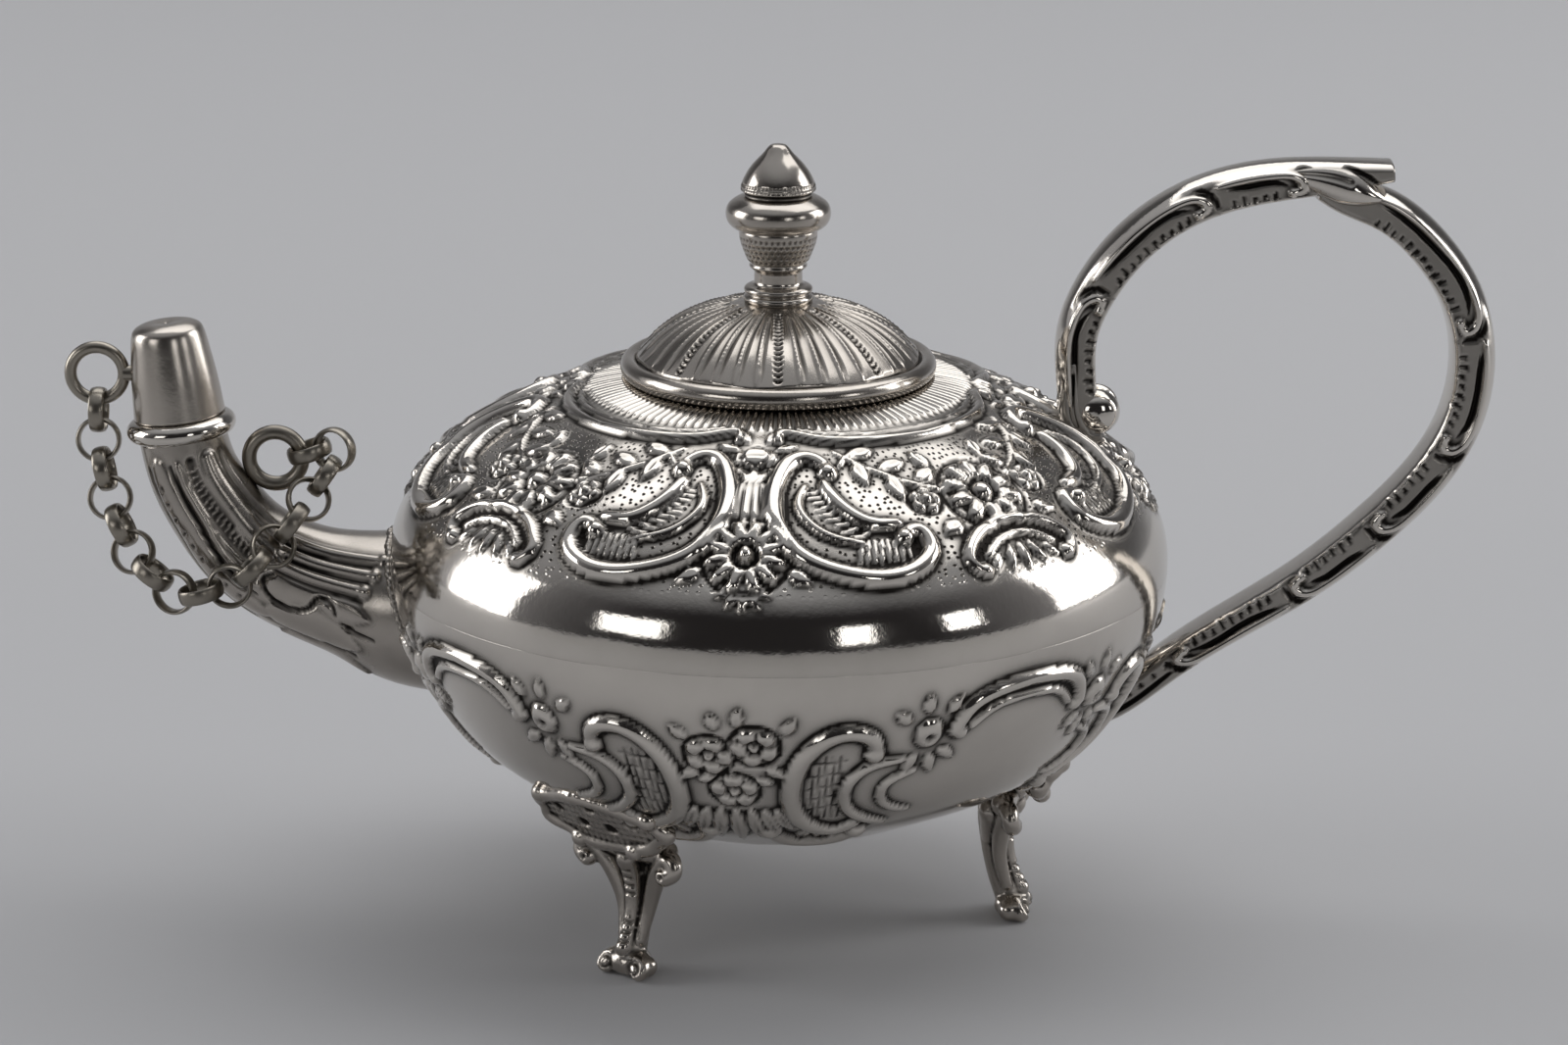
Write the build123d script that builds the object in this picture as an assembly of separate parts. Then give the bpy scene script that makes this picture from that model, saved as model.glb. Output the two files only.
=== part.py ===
from build123d import *
from build123d.topology import SkipClean
import math
import os

# A spirit lamp in silver, millimetres. The bowl stands on three feet, with its axis on Z and the table at
# Z = 0. The handle points along +X and the spout along -X.

# Bowl
BOWL_RADIUS = 36.8
GIRDLE_HEIGHT = 35.0
BOWL_BOTTOM = 9.2
BOWL_FLAT_RADIUS = 6.0
BOWL_WALL = 0.9
MOUTH_RADIUS = 13.6
MOUTH_HEIGHT = 52.8
SEAM_LAP = 2.0
SEAM_LAP_WALL = 0.8
SEAM_CLEARANCE = 0.25
# Where the turned surface closes on itself, clear of the spout, the handle and the feet
BOWL_CLOSING_ANGLE = 53.0
# Outline of each half as shares of its width and height, bottom to girdle and girdle to mouth
LOWER_SHAPE = [(0.21, 0.055), (0.455, 0.18), (0.74, 0.37), (0.90, 0.63), (0.98, 0.85)]
UPPER_SHAPE = [(0.96, 0.28), (0.82, 0.52), (0.615, 0.715), (0.345, 0.885), (0.13, 0.972)]

# Chased ribs and flowers of the bowl's upper half, repeated on panels round it. Each place is an angle from the
# middle of its panel and a share of the way from the girdle to the mouth.
PANEL_COUNT = 4
UPPER_PANEL_ANGLE = -95.0
RIB_RADIUS = 0.85
RIB_LIFT = 0.1
RIB_ROOT = 1.0
SCROLL_RIB = [(15.0, 0.66), (9.0, 0.705), (4.8, 0.537), (9.0, 0.338), (21.0, 0.267), (28.6, 0.34)]
INNER_RIB = [(14.6, 0.575), (17.2, 0.49), (24.0, 0.45)]
ARCH_RIB = [(35.6, 0.265), (38.2, 0.335), (45.0, 0.372), (51.8, 0.335), (54.4, 0.265)]
FLOWER_RADIUS = 3.0
FLOWER_HEIGHT = 0.8
FLOWER_ROOT = 0.6
FLOWER_SHARE = 0.347
SPRAY_ANGLE = 45.0
SPRAY_SHARE = 0.51
MOULDING_SHARE = 0.785
MOULDING_RADIUS = 0.6
# Panel, counted from the front, whose middle flower and one scroll would lie under the handle
HANDLE_PANEL = 1

# Filler collar and lid
COLLAR_WALL = 0.8
COLLAR_DEPTH = 5.5
BEZEL_CLEARANCE = 0.15
BEZEL_WALL = 0.8
BEZEL_DEPTH = 4.2
LID_SEAT_GAP = 0.1
LID_OVERHANG = 1.2
RIM_WIDTH = 1.7
RIM_HEIGHT = 2.0
DOME_RISE = 6.4
DOME_WALL = 0.8
# Shoulder of the dome as shares of its radius and rise
DOME_SHOULDER = (0.66, 0.70)
VENT_COUNT = 2
VENT_LENGTH = 1.9
VENT_WIDTH = 0.5
VENT_RADIUS = 5.4
VENT_TURN = 10.0

# Finial
FINIAL_FOOT_RADIUS = 3.25
FINIAL_FOOT_HEIGHT = 1.7
FINIAL_NECK_RADIUS = 2.3
FINIAL_NECK_HEIGHT = 1.9
FINIAL_CUP_BASE_RADIUS = 2.65
FINIAL_CUP_RADIUS = 3.7
FINIAL_CUP_HEIGHT = 3.3
BEAD_RADIUS = 4.9
BEAD_HEIGHT = 3.2
TIP_RADIUS = 3.75
TIP_HEIGHT = 4.9
TIP_ROUND = 0.55
STUD_RADIUS = 1.0
STUD_CLEARANCE = 0.05
STUD_LENGTH = 4.2
WASHER_RADIUS = 2.6
WASHER_THICKNESS = 0.6
NUT_ACROSS_FLATS = 4.0
NUT_THICKNESS = 1.5

# Spout, as reach beyond the girdle, height above the girdle and diameter of each round section
SPOUT_SECTIONS = [
    (-6.0, -5.2, 15.8),
    (-0.6, -4.5, 14.7),
    (3.3, -3.5, 12.3),
    (7.2, -2.4, 10.9),
    (10.8, -0.8, 10.3),
    (13.8, 1.5, 9.7),
    (16.2, 4.4, 9.1),
    (18.0, 7.8, 8.6),
]
SPOUT_MOUTH_REACH = 19.3
SPOUT_MOUTH_RISE = 12.2
SPOUT_MOUTH_DIAMETER = 8.2
SPOUT_MOUTH_TILT = 6.0
SPOUT_NECK = 3.0
SPOUT_WALL = 1.0
LIP_RADIUS = 4.15
LIP_WIRE_RADIUS = 1.0
LIP_SEAT_DEPTH = 0.25
SPOUT_RING_RADIUS = 2.5
SPOUT_RING_WIRE_RADIUS = 0.7
SPOUT_RING_REACH = 10.6
SPOUT_RING_RISE = 9.8

# Burner and wick
DISC_THICKNESS = 1.0
DISC_CLEARANCE = 0.05
TUBE_RADIUS = 2.0
TUBE_WALL = 0.5
TUBE_LENGTH = 8.5
TUBE_ABOVE_MOUTH = 4.6
WICK_CLEARANCE = 0.25
WICK_ABOVE_TUBE = 1.2
WICK_IN_BOWL = [(-29.0, 29.2), (-22.0, 25.0), (-17.0, 19.0)]

# Snuffer cap
CAP_RADIUS = 4.3
CAP_TOP_RADIUS = 3.2
CAP_HEIGHT = 8.8
CAP_WALL = 0.6
CAP_EDGE_ROUND = 0.5
CAP_SEAT_GAP = 0.1
CAP_RING_RADIUS = 2.5
CAP_RING_WIRE_RADIUS = 0.58
CAP_RING_RISE = 4.0
CAP_RING_STANDOFF = 0.27
CAP_RING_LUG_RADIUS = 0.75

# Chain
LINK_RADIUS = 1.93
LINK_THICKNESS = 0.46
LINK_WIDTH = 1.4
LINK_CLEARANCE = 0.12
CHAIN_RING_ANGLE = 12.0
# Heading of each link in degrees, from the spout's ring to the cap's ring, and how far it leans to the front
CHAIN_HEADINGS = [
    14, -8, -128, -130, -130, -131, -137, -148, -166, -190, -216, -228, -240, -250, -254, -258, -266,
]
CHAIN_LEANS = [-20, -24, -36, -34, -30, -24, -10, 0, 8, 18, 24, 24, 22, 20, 16, 12, 8]
LINK_COUNT = len(CHAIN_HEADINGS)

# Handle: middle line as reach beyond the girdle and height above the girdle, with its thickness
HANDLE_WIDTH = 5.0
HANDLE_EDGE_ROUND = 0.45
ARM_LINE = [
    (-6.6, 5.0, 2.8),
    (-8.3, 12.0, 3.0),
    (-8.9, 17.5, 3.4),
    (-8.9, 21.9, 3.5),
    (-7.2, 26.3, 3.6),
    (-3.4, 31.1, 3.6),
    (1.9, 34.6, 3.6),
    (7.8, 36.3, 3.5),
    (13.6, 36.9, 2.9),
    (21.2, 37.4, 1.2),
]
LOOP_LINE = [
    (11.2, 35.5, 2.4),
    (14.5, 35.3, 3.0),
    (19.2, 33.8, 3.5),
    (23.6, 30.3, 3.7),
    (26.9, 25.4, 3.8),
    (28.2, 19.9, 3.8),
    (27.4, 13.8, 3.8),
    (24.5, 8.4, 3.7),
    (20.1, 3.6, 3.6),
    (13.1, -2.2, 3.3),
    (6.4, -6.4, 3.0),
    (0.2, -10.6, 2.8),
    (-5.6, -14.7, 2.6),
    (-11.5, -16.2, 2.6),
]
SCROLL_RADIUS = 1.9
SCROLL_REACH = -5.5
SCROLL_RISE = 14.7
SCROLL_PROUD = 0.3

# Feet, each in its own upright plane: distance from the axis and height
FOOT_TURN = -7.5
FOOT_SPACING = 120.0
FOOT_NAMES = ["foot_front", "foot_right", "foot_back"]
FOOT_FIRST_ANGLE = -120.0
FOOT_OUTER_EDGE = [
    (23.4, 14.5), (21.6, 9.5), (21.0, 6.0), (21.5, 3.7), (23.3, 2.7), (23.9, 1.5), (22.9, 0.0),
]
FOOT_INNER_EDGE = [(20.8, 0.0), (19.7, 1.4), (19.1, 3.6), (18.7, 6.5), (18.6, 9.8), (18.9, 14.5)]
FOOT_HALF_WIDTHS = [
    (2.2, 0.0), (3.0, 1.3), (2.3, 2.7), (1.45, 4.4), (1.5, 6.4), (2.5, 8.4), (4.2, 10.2), (4.9, 14.5),
]
VOLUTE_RADIUS = 1.25
VOLUTE_OFFSET = 4.2
VOLUTE_HEIGHT = 10.4
VOLUTE_LENGTH = 2.4


def girdle_point(reach, rise):
    """A point on the spout or handle side from its reach beyond the girdle and its rise above it."""
    return (BOWL_RADIUS + reach, GIRDLE_HEIGHT + rise)


def inset(points, depth):
    """Move each point of an open outline to its left by depth."""
    moved = []
    for index, (x, z) in enumerate(points):
        before = points[max(index - 1, 0)]
        after = points[min(index + 1, len(points) - 1)]
        along = (Vector(*after) - Vector(*before)).normalized()
        moved.append((x - along.Y * depth, z + along.X * depth))
    return moved


def lathe(face):
    """Turn a face in the XZ plane about Z."""
    return revolve(face, Axis.Z)


def on_xz(points, tangents=None):
    """A smooth curve through points of the XZ plane."""
    return Spline([(x, 0, z) for x, z in points], tangents=tangents)


def straight_xz(*points):
    """Straight runs through points of the XZ plane."""
    return Polyline([(x, 0, z) for x, z in points])


def closed_face(*edges):
    """The face inside edges that meet end to end."""
    return make_face(Wire.combine([edge for curve in edges for edge in curve.edges()])[0].edges())


def rectangle_xz(x0, z0, x1, z1):
    """An upright rectangle in the XZ plane."""
    return make_face(straight_xz((x0, z0), (x1, z0), (x1, z1), (x0, z1), (x0, z0)))


def disc_xz(x, z, radius):
    """A round face in the XZ plane."""
    return make_face(Plane((x, 0, z), z_dir=(0, -1, 0)) * Circle(radius).edge())


def bowl_outline(depth):
    """The bowl's outline from the edge of its flat bottom up to the mouth, moved inwards by depth."""
    points = [(BOWL_FLAT_RADIUS, BOWL_BOTTOM)]
    for across, up in LOWER_SHAPE:
        points.append((
            BOWL_FLAT_RADIUS + across * (BOWL_RADIUS - BOWL_FLAT_RADIUS),
            BOWL_BOTTOM + up * (GIRDLE_HEIGHT - BOWL_BOTTOM),
        ))
    points.append((BOWL_RADIUS, GIRDLE_HEIGHT))
    for across, up in UPPER_SHAPE:
        points.append((
            MOUTH_RADIUS + across * (BOWL_RADIUS - MOUTH_RADIUS),
            GIRDLE_HEIGHT + up * (MOUTH_HEIGHT - GIRDLE_HEIGHT),
        ))
    points.append((MOUTH_RADIUS, MOUTH_HEIGHT))
    return inset(points, depth)


def bowl_face(depth):
    """The face between the axis and the bowl's outline, moved inwards by depth."""
    outline = bowl_outline(depth)
    first = outline[0]
    last = outline[-1]
    return closed_face(on_xz(outline), straight_xz(last, (0, last[1]), (0, first[1]), first))


def bowl_solid(depth):
    """The bowl as a full solid, smaller by depth all round."""
    return Rot(0, 0, BOWL_CLOSING_ANGLE) * lathe(bowl_face(depth))


def slab(bottom, top):
    """All of the bowl's width between two heights."""
    side = 3 * BOWL_RADIUS
    return Pos(0, 0, (bottom + top) / 2) * Box(side, side, top - bottom)


def on_bowl(angle, share, lift):
    """A place on the bowl and the way out of it, by angle and share of the way from the girdle to the mouth."""
    at = girdle_share + share * (1 - girdle_share)
    place = bowl_line @ at
    along = bowl_line % at
    outward = Vector(along.Z, 0, -along.X)
    return (place + outward * lift).rotate(Axis.Z, angle), outward.rotate(Axis.Z, angle)


def rib(points, panel_angle):
    """A rounded rib along a curve on the bowl that sinks into it at both ends."""
    lifts = [-RIB_ROOT] + [RIB_LIFT] * (len(points) - 2) + [-RIB_ROOT]
    places = [on_bowl(panel_angle + angle, share, lift)[0] for (angle, share), lift in zip(points, lifts)]
    path = Spline(places)
    return sweep(Plane(path @ 0, z_dir=path % 0) * Circle(RIB_RADIUS), path)


def mirrored(points):
    """The same curve on the other side of its panel's middle."""
    return [(-angle, share) for angle, share in points]


def flower(angle, share, radius, height):
    """A low round boss standing on the bowl."""
    place, outward = on_bowl(angle, share, 0)
    crown = Spline([(radius, 0, 0), (0.72 * radius, 0, 0.75 * height), (0.3 * radius, 0, height)])
    top = (0.3 * radius, height)
    sides = straight_xz(top, (0, height), (0, -FLOWER_ROOT), (radius, -FLOWER_ROOT), (radius, 0))
    return Plane(place, z_dir=outward) * lathe(closed_face(crown, sides))


def dome_curve(depth):
    """Points of the lid's dome from its edge up to the axis, moved inwards by depth."""
    edge = (lid_radius - RIM_WIDTH / 2 - depth, rim_level)
    top = (0, rim_level + DOME_RISE - depth)
    across, up = DOME_SHOULDER
    middle = (across * edge[0], rim_level + up * (DOME_RISE - depth))
    return edge, middle, top


def under_dome(depth):
    """The face between the dome's curve and the plane of its edge."""
    edge, middle, top = dome_curve(depth)
    curve = on_xz([edge, middle, top], tangents=[(-0.75, 0, 1), (-1, 0, 0)])
    ends = straight_xz(top, (0, rim_level), edge)
    return closed_face(curve, ends)


def band(line):
    """A flat band of changing thickness along a middle line of (reach, rise, thickness)."""
    middle = [girdle_point(reach, rise) for reach, rise, _ in line]
    left = []
    right = []
    for index, (_, _, thickness) in enumerate(line):
        left.append(inset(middle, thickness / 2)[index])
        right.append(inset(middle, -thickness / 2)[index])
    ends = [straight_xz(left[0], right[0]), straight_xz(left[-1], right[-1])]
    return closed_face(on_xz(left), ends[0], on_xz(right), ends[1])


def plate(face, width, rounding):
    """Extrude an XZ face to a plate centred on Y = 0 with its long edges rounded."""
    solid = extrude(face, width / 2, dir=(0, 1, 0), both=True)
    faces = [solid.faces().sort_by(Axis.Y)[0], solid.faces().sort_by(Axis.Y)[-1]]
    long_edges = [edge for side in faces for edge in side.edges() if edge.length > width]
    return fillet(long_edges, rounding)


def tube(radius, wall, length):
    """A plain tube standing on the XY plane."""
    return Cylinder(radius, length, align=upright) - Cylinder(radius - wall, length, align=upright)


def rounded(values, digits=3):
    """Values short enough to print."""
    return [round(value, digits) for value in values]


upright = (Align.CENTER, Align.CENTER, Align.MIN)
lid_radius = MOUTH_RADIUS + LID_OVERHANG
rim_level = MOUTH_HEIGHT + LID_SEAT_GAP + RIM_HEIGHT / 2
dome_top = rim_level + DOME_RISE

# Bowl halves, open at the mouth and lapped at the girdle
bowl_outside = bowl_solid(0)
bowl_inside = bowl_solid(BOWL_WALL)
# Chased ribs and flowers stand on the outside. Faces of one turned surface stay as they are cut.
bowl_line = on_xz(bowl_outline(0))
line_shares = [index / 1000 for index in range(1001)]
girdle_share = min(line_shares, key=lambda share: abs((bowl_line @ share).Z - GIRDLE_HEIGHT))
moulding_place = on_bowl(0, MOULDING_SHARE, 0)[0]
bowl_work = [lathe(disc_xz(moulding_place.X, moulding_place.Z, MOULDING_RADIUS))]
for panel in range(PANEL_COUNT):
    upper_angle = UPPER_PANEL_ANGLE + panel * 360 / PANEL_COUNT
    for curve in (mirrored(SCROLL_RIB), mirrored(INNER_RIB), INNER_RIB, ARCH_RIB):
        bowl_work.append(rib(curve, upper_angle))
    bowl_work.append(flower(upper_angle + SPRAY_ANGLE, SPRAY_SHARE, FLOWER_RADIUS, FLOWER_HEIGHT))
    if panel != HANDLE_PANEL:
        bowl_work.append(rib(SCROLL_RIB, upper_angle))
        bowl_work.append(flower(upper_angle, FLOWER_SHARE, FLOWER_RADIUS, FLOWER_HEIGHT))
lap_radius = BOWL_RADIUS - BOWL_WALL - SEAM_CLEARANCE
lap_foot = GIRDLE_HEIGHT - SEAM_LAP
lap_inside = lap_radius - SEAM_LAP_WALL
lap_face = rectangle_xz(lap_inside, lap_foot, lap_radius, GIRDLE_HEIGHT + SEAM_LAP)
lap_face &= bowl_face(BOWL_WALL + SEAM_CLEARANCE)
lap_root = rectangle_xz(lap_inside, lap_foot, BOWL_RADIUS - BOWL_WALL / 2, GIRDLE_HEIGHT)
lap = lathe(lap_face + lap_root)
with SkipClean():
    bowl_shell = bowl_outside + bowl_work
    bowl_shell -= bowl_inside
    bowl_shell -= Pos(0, 0, MOUTH_HEIGHT) * Cylinder(MOUTH_RADIUS, 6 * BOWL_WALL)
    lower_bowl = (bowl_shell & slab(0, GIRDLE_HEIGHT)) + lap
    upper_bowl = bowl_shell & slab(GIRDLE_HEIGHT, MOUTH_HEIGHT + 1)

# Spout: round sections along a curved middle line, with a bore that opens into the bowl
mouth_tilt = math.radians(SPOUT_MOUTH_TILT)
mouth_axis = Vector(-math.sin(mouth_tilt), 0, math.cos(mouth_tilt))
mouth_x, mouth_z = girdle_point(SPOUT_MOUTH_REACH, SPOUT_MOUTH_RISE)
mouth_plane = Plane((-mouth_x, 0, mouth_z), x_dir=(0, 1, 0), z_dir=mouth_axis)
neck_plane = mouth_plane.offset(-SPOUT_NECK)
spout_line = [girdle_point(reach, rise) for reach, rise, _ in SPOUT_SECTIONS]
spout_line.append((-neck_plane.origin.X, neck_plane.origin.Z))


def spout_solid(wall):
    """The spout as a full solid with a straight neck, smaller by wall all round and longer by wall."""
    faces = []
    for index, (_, _, diameter) in enumerate(SPOUT_SECTIONS):
        here = spout_line[index]
        before = spout_line[max(index - 1, 0)]
        after = spout_line[index + 1]
        along = Vector(before[0] - after[0], 0, after[1] - before[1])
        section = Plane((-here[0], 0, here[1]), x_dir=(0, 1, 0), z_dir=along)
        faces.append(section.offset(-wall if index == 0 else 0) * Circle(diameter / 2 - wall))
    neck_radius = SPOUT_MOUTH_DIAMETER / 2 - wall
    faces.append(neck_plane * Circle(neck_radius))
    return loft(faces) + neck_plane * Cylinder(neck_radius, SPOUT_NECK + wall, align=upright)


spout_outside = spout_solid(0)
spout_bore = spout_solid(SPOUT_WALL)
spout = spout_outside - bowl_outside - spout_bore
with SkipClean():
    lower_bowl = lower_bowl - spout_bore
    upper_bowl = upper_bowl - spout_bore
lip_level = LIP_WIRE_RADIUS - LIP_SEAT_DEPTH
lip_face = disc_xz(LIP_RADIUS, lip_level, LIP_WIRE_RADIUS)
lip_face &= rectangle_xz(0, 0, LIP_RADIUS + LIP_WIRE_RADIUS, 2 * LIP_WIRE_RADIUS)
spout_lip = mouth_plane * lathe(lip_face)

# Ring for the chain, let into the hollow of the spout's back
ring_x, ring_z = girdle_point(SPOUT_RING_REACH, SPOUT_RING_RISE)
spout_ring_centre = Vector(-ring_x, 0, ring_z)
facing_front = Plane(spout_ring_centre, x_dir=(1, 0, 0), z_dir=(0, -1, 0))
spout_ring = facing_front * Torus(SPOUT_RING_RADIUS, SPOUT_RING_WIRE_RADIUS) - spout_outside

# Burner: a disc in the mouth, the wick tube through it, and the wick down the spout into the bowl
bore_radius = SPOUT_MOUTH_DIAMETER / 2 - SPOUT_WALL
disc_plane = mouth_plane.offset(-DISC_THICKNESS)
disc_radius = bore_radius - DISC_CLEARANCE
burner_disc = disc_plane * tube(disc_radius, disc_radius - TUBE_RADIUS, DISC_THICKNESS)
wick_tube = mouth_plane.offset(TUBE_ABOVE_MOUTH - TUBE_LENGTH) * tube(TUBE_RADIUS, TUBE_WALL, TUBE_LENGTH)
wick_radius = TUBE_RADIUS - TUBE_WALL - WICK_CLEARANCE
wick_top = mouth_plane.from_local_coords((0, 0, TUBE_ABOVE_MOUTH + WICK_ABOVE_TUBE))
wick_tube_foot = mouth_plane.from_local_coords((0, 0, TUBE_ABOVE_MOUTH - TUBE_LENGTH - 2 * wick_radius))
wick_points = [wick_top, wick_tube_foot]
wick_points += [Vector(-spout_line[index][0], 0, spout_line[index][1]) for index in (5, 3, 1)]
wick_points += [Vector(x, 0, z) for x, z in WICK_IN_BOWL]


def largest_radii(points, share=0.45):
    """The largest arc at each corner of a route that leaves its runs some straight length."""
    radii = []
    for before, here, after in zip(points, points[1:], points[2:]):
        turn = math.radians((here - before).get_angle(after - here))
        shorter = min((here - before).length, (after - here).length)
        radii.append(share * shorter / math.tan(turn / 2))
    return radii


wick_radii = largest_radii(wick_points)
wick_path = FilletPolyline(wick_points, radius=wick_radii)
wick_end = Plane(wick_top, z_dir=wick_path.tangent_at(0))
wick = sweep(wick_end * Circle(wick_radius), path=wick_path)
print("wick radii", rounded(wick_radii))
wick_share = wick.volume / (math.pi * wick_radius ** 2 * wick_path.length)
print("wick length", round(wick_path.length, 2), "volume ratio", round(wick_share, 4))

# Snuffer cap on the lip, and its ring
cap_plane = mouth_plane.offset(lip_level + LIP_WIRE_RADIUS + CAP_SEAT_GAP)
cap_body = Cone(CAP_RADIUS, CAP_TOP_RADIUS, CAP_HEIGHT, align=upright)
cap_body = fillet(cap_body.edges().group_by(Axis.Z)[-1], CAP_EDGE_ROUND)
cap_hollow = Cone(CAP_RADIUS - CAP_WALL, CAP_TOP_RADIUS - CAP_WALL, CAP_HEIGHT - CAP_WALL, align=upright)
snuffer_cap = cap_plane * (cap_body - cap_hollow)
cap_side = CAP_RADIUS - (CAP_RADIUS - CAP_TOP_RADIUS) * CAP_RING_RISE / CAP_HEIGHT
cap_ring_offset = cap_side + CAP_RING_STANDOFF + CAP_RING_RADIUS + CAP_RING_WIRE_RADIUS
cap_ring_centre = cap_plane.from_local_coords((0, 0, CAP_RING_RISE)) - Vector(cap_ring_offset, 0, 0)
cap_ring_plane = Plane(cap_ring_centre, x_dir=(1, 0, 0), z_dir=(0, -1, 0))
lug_length = CAP_RING_STANDOFF + CAP_WALL + CAP_RING_WIRE_RADIUS
lug_plane = Plane(cap_ring_centre + Vector(CAP_RING_RADIUS, 0, 0), z_dir=(1, 0, 0))
cap_lug = lug_plane * Cylinder(CAP_RING_LUG_RADIUS, lug_length, align=upright)
cap_full = cap_plane * cap_body
snuffer_ring = cap_ring_plane * Torus(CAP_RING_RADIUS, CAP_RING_WIRE_RADIUS) + cap_lug - cap_full

# Filler collar, lid and finial
collar_plane = Plane.XY.offset(MOUTH_HEIGHT - COLLAR_DEPTH)
filler_collar = collar_plane * tube(MOUTH_RADIUS, COLLAR_WALL, COLLAR_DEPTH)
bezel_radius = MOUTH_RADIUS - COLLAR_WALL - BEZEL_CLEARANCE
dome_outside = under_dome(0)
dome_inside = under_dome(DOME_WALL)
bezel_face = rectangle_xz(bezel_radius - BEZEL_WALL, rim_level, bezel_radius, dome_top) & dome_inside
bezel_face += rectangle_xz(bezel_radius - BEZEL_WALL, MOUTH_HEIGHT - BEZEL_DEPTH, bezel_radius, rim_level)
lid_bezel = lathe(bezel_face)
stud_hole = Pos(0, 0, dome_top) * Cylinder(STUD_RADIUS + STUD_CLEARANCE, 4 * DOME_WALL)
vent = Pos(VENT_RADIUS, 0, dome_top) * Box(VENT_LENGTH, VENT_WIDTH, 6 * DOME_WALL)
finial_seat = dome_top - 0.6 * DOME_WALL
seat_cut = Pos(0, 0, finial_seat) * Cylinder(FINIAL_FOOT_RADIUS, DOME_WALL, align=upright)
vents = PolarLocations(0, VENT_COUNT, VENT_TURN) * vent
lid_dome = lathe(dome_outside - dome_inside) - stud_hole - seat_cut - vents
rim_middle = lid_radius - RIM_WIDTH / 2
rim_plane = Plane((rim_middle, 0, rim_level), x_dir=(1, 0, 0), z_dir=(0, -1, 0))
rim_face = make_face((rim_plane * Ellipse(RIM_WIDTH / 2, RIM_HEIGHT / 2)).edge()) - dome_outside
lid_rim = lathe(rim_face)

neck_bottom = finial_seat + FINIAL_FOOT_HEIGHT
cup_bottom = neck_bottom + FINIAL_NECK_HEIGHT
cup_top = cup_bottom + FINIAL_CUP_HEIGHT
bead_top = cup_top + BEAD_HEIGHT
cup_ends = [(FINIAL_CUP_BASE_RADIUS, cup_bottom), (FINIAL_CUP_RADIUS, cup_top)]
cup_side = on_xz(cup_ends, tangents=[(1, 0, 0.9), (0.12, 0, 1)])
foot_side = straight_xz(
    (0, cup_top),
    (0, finial_seat),
    (FINIAL_FOOT_RADIUS, finial_seat),
    (FINIAL_FOOT_RADIUS, neck_bottom),
    (FINIAL_NECK_RADIUS, neck_bottom),
    (FINIAL_NECK_RADIUS, cup_bottom),
    (FINIAL_CUP_BASE_RADIUS, cup_bottom),
)
cup_lid = straight_xz((FINIAL_CUP_RADIUS, cup_top), (0, cup_top))
stud = Pos(0, 0, finial_seat - STUD_LENGTH) * Cylinder(STUD_RADIUS, STUD_LENGTH, align=upright)
finial_baluster = lathe(closed_face(foot_side, cup_side, cup_lid)) + stud
bead_face = rectangle_xz(0, cup_top, BEAD_RADIUS - BEAD_HEIGHT / 2, bead_top)
bead_face += disc_xz(BEAD_RADIUS - BEAD_HEIGHT / 2, (cup_top + bead_top) / 2, BEAD_HEIGHT / 2)
finial_bead = lathe(bead_face)
tip_top = bead_top + TIP_HEIGHT
tip_shoulder = (TIP_ROUND, tip_top - TIP_ROUND)
tip_side = on_xz([(TIP_RADIUS, bead_top), tip_shoulder], tangents=[(-0.1, 0, 1), (-1, 0, 1.5)])
tip_cap = on_xz([tip_shoulder, (0, tip_top)], tangents=[(-1, 0, 1.5), (-1, 0, 0)])
tip_base = straight_xz((0, tip_top), (0, bead_top), (TIP_RADIUS, bead_top))
finial_tip = lathe(closed_face(tip_side, tip_cap, tip_base))
washer_top = dome_top - DOME_WALL
washer_face = rectangle_xz(
    STUD_RADIUS + STUD_CLEARANCE, washer_top - WASHER_THICKNESS, WASHER_RADIUS, washer_top
) & dome_inside
finial_washer = lathe(washer_face)
nut_bottom = washer_top - WASHER_THICKNESS - NUT_THICKNESS
stud_bore = STUD_RADIUS + STUD_CLEARANCE
nut_outline = RegularPolygon(NUT_ACROSS_FLATS / 2, 6, major_radius=False) - Circle(stud_bore)
finial_nut = Pos(0, 0, nut_bottom) * extrude(nut_outline, NUT_THICKNESS)

# Handle: a scrolled arm that ends in a leaf, and the loop that springs from under the leaf
scroll_x, scroll_z = girdle_point(SCROLL_REACH, SCROLL_RISE)
arm_face = band(ARM_LINE)
arm_room = extrude(arm_face, HANDLE_WIDTH, dir=(0, 1, 0), both=True)
scroll_face = disc_xz(scroll_x, scroll_z, SCROLL_RADIUS)
scroll = extrude(scroll_face, HANDLE_WIDTH / 2 + SCROLL_PROUD, dir=(0, 1, 0), both=True)
scroll = fillet(scroll.edges().filter_by(GeomType.CIRCLE), HANDLE_EDGE_ROUND)
arm_plate = plate(arm_face, HANDLE_WIDTH, HANDLE_EDGE_ROUND)
handle_arm = (arm_plate - bowl_outside) + (scroll - bowl_outside)
handle_loop = plate(band(LOOP_LINE), HANDLE_WIDTH, HANDLE_EDGE_ROUND) - arm_room - bowl_outside


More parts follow.
